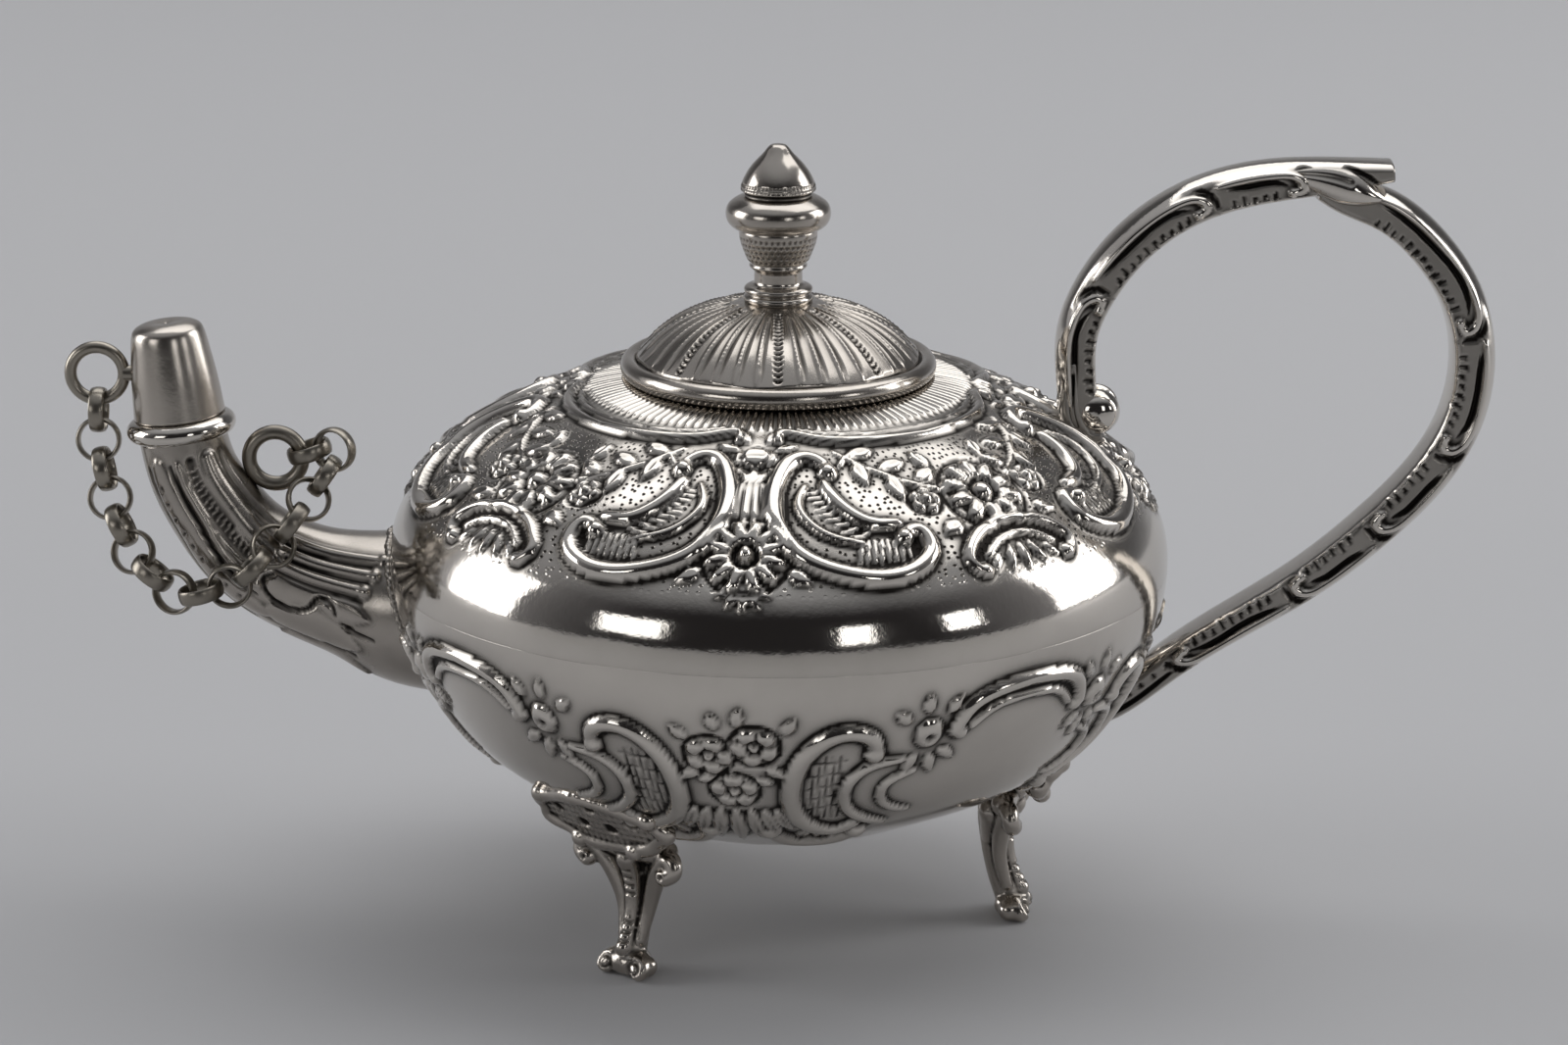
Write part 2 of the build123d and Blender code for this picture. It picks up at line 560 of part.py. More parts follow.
def foot():
    """One foot in the XZ plane: its side outline crossed with its front outline, with a volute each side."""
    outer = on_xz(FOOT_OUTER_EDGE)
    inner = on_xz(FOOT_INNER_EDGE)
    sole = straight_xz(FOOT_OUTER_EDGE[-1], FOOT_INNER_EDGE[0])
    top = straight_xz(FOOT_INNER_EDGE[-1], FOOT_OUTER_EDGE[0])
    side = extrude(closed_face(outer, sole, inner, top), 2 * VOLUTE_OFFSET, dir=(0, 1, 0), both=True)
    right = Spline([(0, half, height) for half, height in FOOT_HALF_WIDTHS])
    left = Spline([(0, -half, height) for half, height in FOOT_HALF_WIDTHS])
    ends = [Line(left @ 0, right @ 0), Line(left @ 1, right @ 1)]
    front = extrude(closed_face(left, ends[0], right, ends[1]), BOWL_RADIUS, dir=(1, 0, 0))
    leg = side & front
    middle = (FOOT_OUTER_EDGE[1][0] + FOOT_INNER_EDGE[-2][0]) / 2
    for turn in (-1, 1):
        centre = Plane((middle, turn * VOLUTE_OFFSET, VOLUTE_HEIGHT), z_dir=(1, 0, 0))
        leg += centre * Cylinder(VOLUTE_RADIUS, VOLUTE_LENGTH)
    return leg - bowl_outside


foot_shape = foot()
feet = {}
for index, name in enumerate(FOOT_NAMES):
    feet[name] = Rot(0, 0, FOOT_FIRST_ANGLE + FOOT_TURN + FOOT_SPACING * index) * foot_shape

# Chain: each link hangs on the far end of the one before it, from the spout's ring to the cap's ring
link_inside = LINK_RADIUS - LINK_THICKNESS / 2
link_reach = link_inside - LINK_WIDTH / 2 - LINK_CLEARANCE
first_reach = link_inside - SPOUT_RING_WIRE_RADIUS - LINK_CLEARANCE
last_reach = link_inside - CAP_RING_WIRE_RADIUS - LINK_CLEARANCE
ring_angle = math.radians(CHAIN_RING_ANGLE)
first_pivot = spout_ring_centre + SPOUT_RING_RADIUS * Vector(math.cos(ring_angle), 0, math.sin(ring_angle))
last_pivot = cap_ring_centre - Vector(0, 0, CAP_RING_RADIUS)


def link_axis(index, along):
    """The axis of a link's ring: the links lie edge-on and face-on to the front in turn."""
    to_front = (Vector(0, -1, 0) + along * along.Y).normalized()
    return to_front if index % 2 else along.cross(to_front)


def hang_chain(turn, spread, tilt):
    """Directions, pivots and centres of the links, with the drape turned, opened and tilted."""
    middle = (LINK_COUNT - 1) / 2
    directions = []
    for index, (heading, lean) in enumerate(zip(CHAIN_HEADINGS, CHAIN_LEANS)):
        heading = math.radians(heading + turn + spread * (index - middle) / middle)
        lean = math.radians(lean + tilt)
        level = math.cos(lean)
        directions.append(Vector(level * math.cos(heading), math.sin(lean), level * math.sin(heading)))
    pivots = [first_pivot]
    centres = [first_pivot + directions[0] * first_reach]
    for index in range(1, LINK_COUNT):
        axis = link_axis(index - 1, directions[index - 1])
        pull = directions[index] - axis * directions[index].dot(axis)
        pivots.append(centres[-1] + pull.normalized() * LINK_RADIUS)
        centres.append(pivots[-1] + directions[index] * link_reach)
    return directions, pivots, centres, centres[-1] + directions[-1] * last_reach


def close_chain(rounds=30, step=0.01):
    """Turn, open and tilt the drape until its last link hangs in the cap's ring."""
    turn, spread, tilt = 0.0, 0.0, 0.0
    for _ in range(rounds):
        end = hang_chain(turn, spread, tilt)[3]
        miss = last_pivot - end
        by_turn = (hang_chain(turn + step, spread, tilt)[3] - end) / step
        by_spread = (hang_chain(turn, spread + step, tilt)[3] - end) / step
        by_tilt = (hang_chain(turn, spread, tilt + step)[3] - end) / step
        volume = by_turn.dot(by_spread.cross(by_tilt))
        turn += miss.dot(by_spread.cross(by_tilt)) / volume
        spread += by_turn.dot(miss.cross(by_tilt)) / volume
        tilt += by_turn.dot(by_spread.cross(miss)) / volume
    return turn, spread, tilt


link_face = make_face((Plane((LINK_RADIUS, 0, 0), x_dir=(1, 0, 0), z_dir=(0, -1, 0))
                       * Ellipse(LINK_THICKNESS / 2, LINK_WIDTH / 2)).edge())
link_shape = lathe(link_face)
chain_set = close_chain()
print("chain turned, opened and tilted", rounded(chain_set))
chain = {}
directions, pivots, centres, chain_end = hang_chain(*chain_set)
for index, (along, pivot, centre) in enumerate(zip(directions, pivots, centres)):
    name = f"chain_link_{LINK_COUNT - index:02d}"
    chain[name] = Plane(centre, x_dir=along, z_dir=link_axis(index, along)) * link_shape
    print(name, "pivot", rounded(pivot), "centre", rounded(centre))
print("chain end", rounded(chain_end), "ring", rounded(last_pivot))
print("mouth axis", rounded(mouth_axis, 5))

nodes = {
    "lower_bowl": lower_bowl,
    "upper_bowl": upper_bowl,
    "filler_collar": filler_collar,
    "lid_dome": lid_dome,
    "lid_rim": lid_rim,
    "lid_bezel": lid_bezel,
    "finial_baluster": finial_baluster,
    "finial_bead": finial_bead,
    "finial_tip": finial_tip,
    "finial_washer": finial_washer,
    "finial_nut": finial_nut,
    "spout": spout,
    "spout_lip": spout_lip,
    "spout_ring": spout_ring,
    "burner_disc": burner_disc,
    "wick_tube": wick_tube,
    "wick": wick,
    "snuffer_cap": snuffer_cap,
    "snuffer_ring": snuffer_ring,
    "handle_arm": handle_arm,
    "handle_loop": handle_loop,
    **feet,
    **chain,
}
os.makedirs("parts", exist_ok=True)
for name, solid in nodes.items():
    export_step(solid, f"parts/{name}.step")
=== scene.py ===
import math

import bmesh
import bpy
import numpy as np
from mathutils import Euler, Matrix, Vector


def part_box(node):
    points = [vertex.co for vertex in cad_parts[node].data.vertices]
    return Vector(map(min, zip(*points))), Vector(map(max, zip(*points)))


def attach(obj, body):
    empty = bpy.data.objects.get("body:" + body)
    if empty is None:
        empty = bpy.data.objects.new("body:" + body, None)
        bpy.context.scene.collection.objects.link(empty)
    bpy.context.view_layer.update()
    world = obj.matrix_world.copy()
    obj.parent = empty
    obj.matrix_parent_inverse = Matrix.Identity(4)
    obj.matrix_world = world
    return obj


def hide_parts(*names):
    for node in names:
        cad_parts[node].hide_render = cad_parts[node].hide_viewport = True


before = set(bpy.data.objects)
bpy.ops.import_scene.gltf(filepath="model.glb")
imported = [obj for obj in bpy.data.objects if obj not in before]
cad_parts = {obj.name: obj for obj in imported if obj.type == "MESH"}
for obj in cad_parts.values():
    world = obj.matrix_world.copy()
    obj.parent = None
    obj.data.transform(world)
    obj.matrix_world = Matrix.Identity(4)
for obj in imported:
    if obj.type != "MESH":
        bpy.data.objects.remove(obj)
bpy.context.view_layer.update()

bl_info = {
    "name": "Silver spirit lamp",
    "version": (1, 0, 0),
    "blender": (4, 5, 0),
    "location": "View3D > Sidebar > Lamp",
    "description": "Builds the chased silver pieces of a spirit lamp around its frame",
    "category": "Object",
}

MM = 0.001

# Bowl: radii and heights, and its outline as shares of each half's width and height, from the bottom up
BOWL_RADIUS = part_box("lower_bowl")[1][1] / MM
GIRDLE_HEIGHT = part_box("upper_bowl")[0][2] / MM
MOUTH_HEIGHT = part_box("upper_bowl")[1][2] / MM
BOWL_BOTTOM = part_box("lower_bowl")[0][2] / MM
MOUTH_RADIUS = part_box("filler_collar")[1][0] / MM
BOWL_FLAT_RADIUS = 6.0
BOWL_WALL = 0.9
LOWER_SHAPE = [(0.21, 0.055), (0.455, 0.18), (0.74, 0.37), (0.90, 0.63), (0.98, 0.85)]
UPPER_SHAPE = [(0.96, 0.28), (0.82, 0.52), (0.615, 0.715), (0.345, 0.885), (0.13, 0.972)]

# Chased work of the bowl: panels round it, turn of the first one on each half, and bands along the outline
PANELS = 4
UPPER_PANEL = -5.0
LOWER_PANEL = -7.0
RIB_START = 26.9
RIB_HEIGHT = 0.3
STIPPLE_BAND = (7.0, 24.0)
WORK_BOTTOM = -25.0
GIRDLE_BAND = -1.2

# Turned pieces: points round the finest, rows of a shell's inside, unevenness of hand work and of lathe work,
# and the radius at which the unrolled surface has its true size
ROUND_COLUMNS = 816
INNER_ROWS = 9
HAND_SHAKE = 0.045
LATHE_SHAKE = 0.03
SHEET_RADIUS = 30.0

# Tarnish of turned pieces, from broad hollows to sharp ones: its share, the hollow's reach and its full depth
TARNISH_STEPS = ((0.42, 1.2, 0.4), (0.8, 0.55, 0.24), (0.8, 0.28, 0.16))
INNER_TARNISH = 0.35

# Lid: outline as shares of its width and height from the edge to the finial, and radius of the finial's foot
LID_SHAPE = [
    (1.0, 0.0),
    (0.962, 0.125),
    (0.885, 0.325),
    (0.66, 0.70),
    (0.37, 0.915),
    (0.14, 0.988),
    (0.09, 0.994),
]
LID_WALL = 0.8
FINIAL_RADIUS = 3.4

# Slits beside the finial in the lid: angle from the front, and distance from the axis
VENTS = [(238, 4.8), (107, 6.6)]

# Finial: radius and height of the baluster with its cup, and of the acorn above the bead
CUP_TOP = 6.9
BALUSTER = [
    (0.05, 0.35), (2.6, 0.35), (3.1, 0.12), (3.25, 0.45), (3.12, 0.8), (2.86, 0.95), (3.12, 1.12),
    (3.2, 1.4), (2.9, 1.68), (2.35, 1.85), (2.25, 2.5), (2.32, 3.15), (2.62, 3.4), (2.72, 3.62),
    (2.6, 3.8), (2.75, 4.0), (3.1, 4.6), (3.45, 5.5), (3.66, 6.5), (3.66, 6.85), (0.05, CUP_TOP),
]
ACORN = [(3.2, 0.0), (3.3, 0.2), (3.5, 0.6), (3.42, 1.2), (2.95, 2.2), (2.2, 3.2), (1.25, 4.2)]

# Spout: reach beyond the girdle, rise above it and diameter of each section
SPOUT_SECTIONS = [
    (-6.0, -5.2, 15.8),
    (-0.6, -4.5, 14.7),
    (3.3, -3.5, 12.3),
    (7.2, -2.4, 10.9),
    (10.8, -0.8, 10.3),
    (13.8, 1.5, 9.7),
    (16.3, 4.7, 9.1),
    (18.3, 8.3, 8.5),
    (19.3, 12.2, 8.2),
]
SPOUT_WALL = 1.0
MOUTH_REACH = SPOUT_SECTIONS[-1][0]
MOUTH_RISE = SPOUT_SECTIONS[-1][1]
MOUTH_TILT = math.radians(6.0)
MOUTH_AXIS = np.array([-math.sin(MOUTH_TILT), 0.0, math.cos(MOUTH_TILT)])
MOUTH_CENTRE = np.array([-BOWL_RADIUS - MOUTH_REACH, 0.0, GIRDLE_HEIGHT + MOUTH_RISE])

# Snuffer cap: radius and height above the middle of the spout's mouth, from its edge to its top
CAP_SHAPE = [
    (4.28, 1.85),
    (4.24, 2.4),
    (4.13, 4.0),
    (3.95, 6.0),
    (3.68, 8.2),
    (3.46, 9.6),
    (3.2, 10.25),
    (2.7, 10.6),
    (0.05, 10.65),
]
CAP_WALL = 0.7

# Handle: reach beyond the girdle, rise above it, and thickness of each middle line (half width of the leaf)
HANDLE_WIDTH = 5.0
CURL_WIDTH = HANDLE_WIDTH + 0.3
ARM_LINE = [
    (-6.6, 5.0, 2.8),
    (-8.3, 12.0, 3.0),
    (-8.9, 17.5, 3.4),
    (-8.9, 21.9, 3.5),
    (-7.2, 26.3, 3.6),
    (-3.4, 31.1, 3.6),
    (1.9, 34.6, 3.6),
    (7.8, 36.3, 3.5),
    (13.6, 36.9, 2.9),
    (19.9, 37.4, 1.5),
]
CURL_LINE = [(-9.3, 19.4, 0.7), (-9.4, 16.6, 1.8), (-9.1, 14.0, 2.4), (-7.9, 12.4, 2.2), (-6.5, 12.5, 1.2)]
LEAF_LINE = [(9.8, 37.2, 0.3), (12.5, 36.9, 1.2), (15.2, 36.2, 1.75), (17.5, 35.4, 1.15), (19.4, 34.9, 0.1)]
LOOP_LINE = [
    (13.2, 35.6, 1.4),
    (15.2, 35.1, 2.7),
    (19.2, 33.8, 3.5),
    (23.6, 30.3, 3.7),
    (26.9, 25.4, 3.8),
    (28.2, 19.9, 3.8),
    (27.4, 13.8, 3.8),
    (24.5, 8.4, 3.7),
    (20.1, 3.6, 3.6),
    (13.1, -2.2, 3.3),
    (6.4, -6.4, 3.0),
    (0.2, -10.6, 2.8),
    (-5.6, -14.7, 2.6),
    (-11.5, -16.2, 2.6),
]

# Rolled end of the arm: distance of its middle from the axis, and its height
SCROLL_PLACE = (29.9, 49.6)

# Middle of the handle's unrolled side, and points across its side and its edge
SIDE_MIDDLE = 4.0
SIDE_COLUMNS = 26
EDGE_COLUMNS = 10

# Feet, with the angle of the first one from +X
FEET = ("foot_front", "foot_right", "foot_back")
FOOT_ANGLE = -127.5

# Pierced shells above the feet: distance and height of their middle, their tilt, and holes by side and
# height, made as dents with painted shade
CREST_PLACE = (26.7, 16.6)
CREST_TILT = math.radians(57.0)
CREST_HOLES = [(-4.3, 16.8), (-1.6, 15.8), (1.6, 15.8), (4.3, 16.8), (0.0, 17.8)]

# Wick: places along the mouth's axis, sections of the spout that it passes, and its way down into the bowl
WICK_AT_MOUTH = (5.7, 2.0, -6.4)
WICK_SECTIONS = (5, 3, 1)
WICK_IN_BOWL = [(-29.0, 29.2), (-22.0, 25.0), (-17.0, 19.0)]
WICK_STRANDS = 3

LINKS = sorted(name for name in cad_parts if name.startswith("chain_link"))

# Finishes of the metal: its colour, its polish, the share of cloudy tarnish, and stippled ground or not
FINISHES = {
    "chased silver": ("silver", "polish", 0.12, True),
    "plain silver": ("silver", "polish", 0.10, False),
    "worn silver": ("worn", "worn_polish", 0.3, False),
    "satin silver": ("worn", "satin", 0.2, False),
    "chain silver": ("chain", "chain_polish", 0.45, False),
}


def run_along(line):
    """Length along a line of points up to each one."""
    return np.concatenate([[0.0], np.cumsum(np.linalg.norm(np.diff(line, axis=0), axis=1))])


def headings(line):
    """Unit directions along a line of points."""
    along = np.gradient(line, axis=0)
    return along / np.linalg.norm(along, axis=1)[:, None]


def right_of(line):
    """Unit directions square to a flat line of points, on its right-hand side."""
    along = headings(line)
    return np.stack([along[:, 1], -along[:, 0]], axis=1)


def smooth_line(points, count):
    """Points along a natural cubic curve through the given ones, evenly spread over its chords."""
    points = np.array(points, float)
    at = run_along(points)
    gaps = np.diff(at)
    size = len(at)
    system = np.eye(size)
    wanted = np.zeros_like(points)
    for i in range(1, size - 1):
        system[i, i - 1:i + 2] = gaps[i - 1], 2 * (gaps[i - 1] + gaps[i]), gaps[i]
        slope_after = (points[i + 1] - points[i]) / gaps[i]
        slope_before = (points[i] - points[i - 1]) / gaps[i - 1]
        wanted[i] = 6 * (slope_after - slope_before)
    bend = np.linalg.solve(system, wanted)
    where = np.linspace(0, at[-1], count)
    k = np.clip(np.searchsorted(at, where, side="right") - 1, 0, size - 2)
    left = (at[k + 1] - where)[:, None]
    right = (where - at[k])[:, None]
    gap = gaps[k][:, None]
    bent = (bend[k] * left ** 3 + bend[k + 1] * right ** 3) / (6 * gap)
    from_before = (points[k] / gap - bend[k] * gap / 6) * left
    from_after = (points[k + 1] / gap - bend[k + 1] * gap / 6) * right
    return bent + from_before + from_after


class Outline:
    """A turned outline of radius and height, measured along its length from a chosen start."""

    def __init__(self, points, zero_at=None):
        self.line = smooth_line(points, 800)
        self.run = run_along(self.line)
        self.outward = right_of(self.line)
        if zero_at is not None:
            self.run -= self.run[np.argmin(np.linalg.norm(self.line - np.array(zero_at), axis=1))]

    def at(self, run):
        """Radius, height and outward direction at places along the outline."""
        place = [np.interp(run, self.run, self.line[:, i]) for i in (0, 1)]
        outward = [np.interp(run, self.run, self.outward[:, i]) for i in (0, 1)]
        return *place, *outward

    def run_at_radius(self, radius):
        """Place along an outline that narrows, where it has a radius."""
        return float(np.interp(-radius, -self.line[:, 0], self.run))

    def run_at_height(self, height):
        """Place along the outline that is nearest to a height."""
        return float(self.run[np.argmin(np.abs(self.line[:, 1] - height))])


def dome(distance, radius, height):
    """Height of a rounded bump at a distance from its middle."""
    return height * np.clip(1 - (distance / radius) ** 2, 0, None) ** 0.6


class Relief:
    """Raised and sunk work on an unrolled surface: across in the surface's own unit, run in millimetres."""

    def __init__(self, period, first, last, unit_at, step=0.1):
        self.period = period
        self.first = first
        self.unit_at = unit_at
        self.step = step
        self.rows = int(round((last - first) / step)) + 1
        widest = max(unit_at(run) for run in np.linspace(first, last, 9))
        self.columns = int(round(period * widest / step))
        self.raised = np.zeros((self.rows, self.columns))
        self.sunk = np.zeros((self.rows, self.columns))

    def patch(self, across, run, reach):
        """Cells round a place, with their distances from it in millimetres."""
        column = across / self.period * self.columns
        row = (run - self.first) / self.step
        wide = self.period / self.columns * self.unit_at(run)
        low_row = max(0, int(row - reach / self.step))
        high_row = min(self.rows, int(row + reach / self.step) + 2)
        rows = np.arange(low_row, high_row)
        columns = np.arange(math.floor(column - reach / wide), math.ceil(column + reach / wide) + 1)
        x = (columns - column) * wide
        y = (rows - row) * self.step
        return np.ix_(rows, columns % self.columns), x[None, :], y[:, None]

    def stamp(self, layer, across, run, reach, shape):
        """Press a shape into a layer, where it stands above what is there."""
        cells, x, y = self.patch(across, run, reach)
        layer[cells] = np.maximum(layer[cells], shape(x, y))

    def bump(self, layer, across, run, radius, height, long=1.0):
        """A round bump in a layer, stretched along the run by long."""

        def shape(x, y):
            return dome(np.hypot(x, y / long), radius, height)

        self.stamp(layer, across, run, radius * long, shape)

    def bead(self, across, run, radius, height, long=1.0):
        """A raised bump, stretched along the run by long."""
        self.bump(self.raised, across, run, radius, height, long)

    def punch(self, across, run, radius, depth):
        """A round dent."""
        self.bump(self.sunk, across, run, radius, depth)

    def ring(self, across, run, radius, half_width, depth, reach):
        """A sunk ring about a place."""

        def shape(x, y):
            return dome(np.hypot(x, y) - radius, half_width, depth)

        self.stamp(self.sunk, across, run, reach, shape)

    def trace(self, layer, points, half_width, height, taper):
        """A rounded line of even height along a curve, thinner at its ends by taper."""
        points = np.array(points, float)
        unit = self.unit_at(points[:, 1].mean())
        in_mm = points * np.array([unit, 1.0])
        length = run_along(in_mm)[-1]
        count = max(4, int(length / (0.22 * half_width)))
        line = smooth_line(in_mm, count) / np.array([unit, 1.0])
        for share, (across, run) in zip(np.linspace(-1, 1, count), line):
            size = 1 - taper * share ** 4
            self.bump(layer, across, run, half_width * size, height * size)

    def ridge(self, points, half_width, height, taper=0.3):
        """A raised rail along a curve."""
        self.trace(self.raised, points, half_width, height, taper)

    def groove(self, points, half_width, depth, taper=0.3):
        """A sunk line along a curve."""
        self.trace(self.sunk, points, half_width, depth, taper)

    def leaf(self, across, run, heading, length, width, height, vein=0.35):
        """A pointed leaf from its stem, heading from +across towards +run in degrees."""
        turn = math.radians(heading)

        def shape(x, y):
            along = x * math.cos(turn) + y * math.sin(turn)
            side = y * math.cos(turn) - x * math.sin(turn)
            share = np.clip(along / length, 0, 1)
            half = 0.5 * width * np.sin(np.pi * share ** 0.8) + 1e-6
            crease = 1 - vein * np.exp(-(side / (0.14 * width)) ** 2)
            return dome(side, half, height) * crease * (0.75 + 0.25 * share)

        self.stamp(self.raised, across, run, length, shape)

    def oval(self, across, run, heading, half_length, half_width, height):
        """A rounded oval, its length along a heading in degrees from +across towards +run."""
        turn = math.radians(heading)

        def shape(x, y):
            along = (x * math.cos(turn) + y * math.sin(turn)) / half_length
            side = (y * math.cos(turn) - x * math.sin(turn)) / half_width
            crease = 1 - 0.3 * np.exp(-(side / 0.22) ** 2) * (along < 0.4)
            return dome(np.hypot(along, side), 1.0, height) * crease

        self.stamp(self.raised, across, run, half_length, shape)

    def flower(self, across, run, radius, petals, height, knob, turn=0.0):
        """A ring of rounded petals round a knob, with dark rings sunk about the knob and the petals."""
        unit = self.unit_at(run)
        middle = 0.66 * radius
        half_width = 0.94 * math.pi * middle / petals
        self.ring(across, run, 1.08 * radius, 0.3, 0.2, 1.3 * radius)
        for petal in range(petals):
            heading = turn + 360 * petal / petals
            x = middle * math.cos(math.radians(heading)) / unit
            y = middle * math.sin(math.radians(heading))
            self.oval(across + x, run + y, heading, 0.40 * radius, half_width, height)
        self.ring(across, run, 1.35 * knob, 0.22, 0.6 * height, 2 * knob)
        self.bead(across, run, knob, 1.05 * height)

    def height(self):
        """Height of the finished work over the plain surface."""
        return self.raised - self.sunk

    def hollows(self, reach, depth):
        """How far each place lies below what is round it, from 0 to 1."""
        height = self.height()
        return np.clip((soften(height, reach / self.step) - height) / depth, 0, 1)

    def sample(self, field, across, run):
        """A layer's value at places between its cells."""
        column = across / self.period * self.columns
        row = np.clip((run - self.first) / self.step, 0, self.rows - 1.001)
        c = np.floor(column).astype(int)
        r = np.floor(row).astype(int)
        u = column - c
        v = row - r
        near = field[r, c % self.columns] * (1 - u) + field[r, (c + 1) % self.columns] * u
        far = field[r + 1, c % self.columns] * (1 - u) + field[r + 1, (c + 1) % self.columns] * u
        return near * (1 - v) + far * v


def soften(field, reach):
    """A field blurred over a reach of cells."""
    taps = np.arange(-int(2.5 * reach), int(2.5 * reach) + 1)
    weights = np.exp(-0.5 * (taps / reach) ** 2)
    weights /= weights.sum()
    for axis in (0, 1):
        field = sum(weight * np.roll(field, tap, axis) for tap, weight in zip(taps, weights))
    return field


def ripple(points, size):
    """Slow unevenness of hand-raised metal at points, between about -1 and 1."""
    x, y, z = np.moveaxis(points, -1, 0)
    total = np.zeros_like(x)
    waves = 6
    for wave in range(waves):
        turn = 2.4 * wave + 0.7
        along = x * math.cos(turn) + y * math.sin(turn) + z * math.sin(3 * turn + 1)
        total += np.sin(along * (5.2 + wave) / size + wave)
    return total / waves


def grid_faces(rows, columns, closed=False):
    """Quads of a grid whose columns go round, and whose rows close on themselves if asked."""
    r = np.arange(rows if closed else rows - 1)[:, None]
    c = np.arange(columns)[None, :]
    here = r * columns
    after = ((r + 1) % rows) * columns
    right = (c + 1) % columns
    corners = [here + c, here + right, after + right, after + c]
    return np.stack(corners, axis=-1).reshape(-1, 4).tolist()


def end_faces(rows, columns):
    """The two faces that close a tube of rings at its ends."""
    last = (rows - 1) * columns
    return [list(range(columns))[::-1], list(range(last, last + columns))]


def grid_sheet(across, run):
    """Flat coordinates of a grid's quads, for marks laid out on the unrolled surface."""
    c = np.append(across, 2 * across[-1] - across[-2])
    corners = []
    for dr, dc in ((0, 0), (0, 1), (1, 1), (1, 0)):
        u, v = np.meshgrid(c[dc:len(c) - 1 + dc], np.append(run, run[0])[dr:len(run) + dr])
        corners.append(np.stack([u, v], axis=-1))
    return np.stack(corners, axis=2).reshape(-1, 2)


def put(name, points, faces, body, material, replaced, layers=None, sheet=None):
    """Make a smooth mesh piece from points in millimetres, and seat it on its body."""
    mesh = bpy.data.meshes.new(name)
    mesh.from_pydata((np.asarray(points) * MM).tolist(), [], faces)
    mesh.polygons.foreach_set("use_smooth", [True] * len(mesh.polygons))
    for layer, values in (layers or {}).items():
        numbers = np.asarray(values, np.float32).ravel()
        mesh.attributes.new(layer, "FLOAT", "POINT").data.foreach_set("value", numbers)
    if sheet is not None:
        flat = np.zeros((len(mesh.loops), 2), np.float32)
        flat[:len(sheet)] = sheet
        mesh.uv_layers.new(name="unrolled").data.foreach_set("uv", flat.ravel())
    mesh.materials.append(material)
    mesh.update()
    piece = bpy.data.objects.new(name, mesh)
    bpy.context.scene.collection.objects.link(piece)
    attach(piece, body)
    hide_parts(*replaced)


def turned_rows(radius, height, angles):
    """Points of rings about the upright axis, with angles counted from -Y towards +X."""
    radius = np.broadcast_to(radius, np.broadcast_shapes(np.shape(radius), (1, len(angles))))
    height = np.broadcast_to(height, radius.shape)
    return np.stack([radius * np.sin(angles), -radius * np.cos(angles), height], axis=-1)


def placed(points, origin, axis):
    """Points turned from the upright axis to another one in the XZ plane, and moved to an origin."""
    side = np.array([axis[2], 0.0, -axis[0]])
    depth = np.array([0.0, 1.0, 0.0])
    return origin + points[..., :1] * side + points[..., 1:2] * depth + points[..., 2:] * axis


def feed(tree, node, values):
    """Give a node's inputs their values, or links from other nodes."""
    for key, value in values.items():
        if isinstance(value, bpy.types.NodeSocket):
            tree.links.new(value, node.inputs[key])
        else:
            node.inputs[key].default_value = value


def add(tree, kind, values=None, **settings):
    """A shader node with its settings and its inputs."""
    node = tree.nodes.new(kind)
    for key, value in settings.items():
        setattr(node, key, value)
    feed(tree, node, values or {})
    return node


def spread(tree, value, low, high, start=0.0, end=1.0, interpolation="LINEAR"):
    """A value taken from the range low to high to the range start to end."""
    limits = {"Value": value, "From Min": low, "From Max": high, "To Min": start, "To Max": end}
    return add(tree, "ShaderNodeMapRange", limits, interpolation_type=interpolation).outputs["Result"]


def blend(tree, factor, first, second):
    """A colour between two others."""
    inputs = {"Factor": factor, "A": first, "B": second}
    return add(tree, "ShaderNodeMix", inputs, data_type="RGBA").outputs["Result"]


def combine(tree, operation, first, second, **settings):
    """Two values taken together."""
    inputs = {0: first, 1: second}
    return add(tree, "ShaderNodeMath", inputs, operation=operation, **settings).outputs["Value"]


def noise(tree, scale, detail, roughness=0.5):
    """Cloudy values that stay with the piece."""
    place = add(tree, "ShaderNodeTexCoord").outputs["Object"]
    inputs = {"Vector": place, "Scale": scale, "Detail": detail, "Roughness": roughness}
    return add(tree, "ShaderNodeTexNoise", inputs).outputs["Fac"]


def fresh_material(name):
    """An empty node material with its shader and output."""
    material = bpy.data.materials.new(name)
    material.use_nodes = True
    tree = material.node_tree
    tree.nodes.clear()
    shader = add(tree, "ShaderNodeBsdfPrincipled")
    add(tree, "ShaderNodeOutputMaterial", {"Surface": shader.outputs["BSDF"]})
    return material, tree, shader


def stipple(tree):
    """Small round pits scattered over the open ground of the chased work."""
    sheet = add(tree, "ShaderNodeUVMap", uv_map="unrolled").outputs["UV"]
    inputs = {"Vector": sheet, "Scale": 1.3, "Randomness": 0.7}
    cells = add(tree, "ShaderNodeTexVoronoi", inputs, voronoi_dimensions="2D")
    dot = spread(tree, cells.outputs["Distance"], 0.13, 0.25, 1.0, 0.0)
    ground = add(tree, "ShaderNodeAttribute", attribute_name="ground").outputs["Fac"]
    return combine(tree, "MULTIPLY", dot, ground)


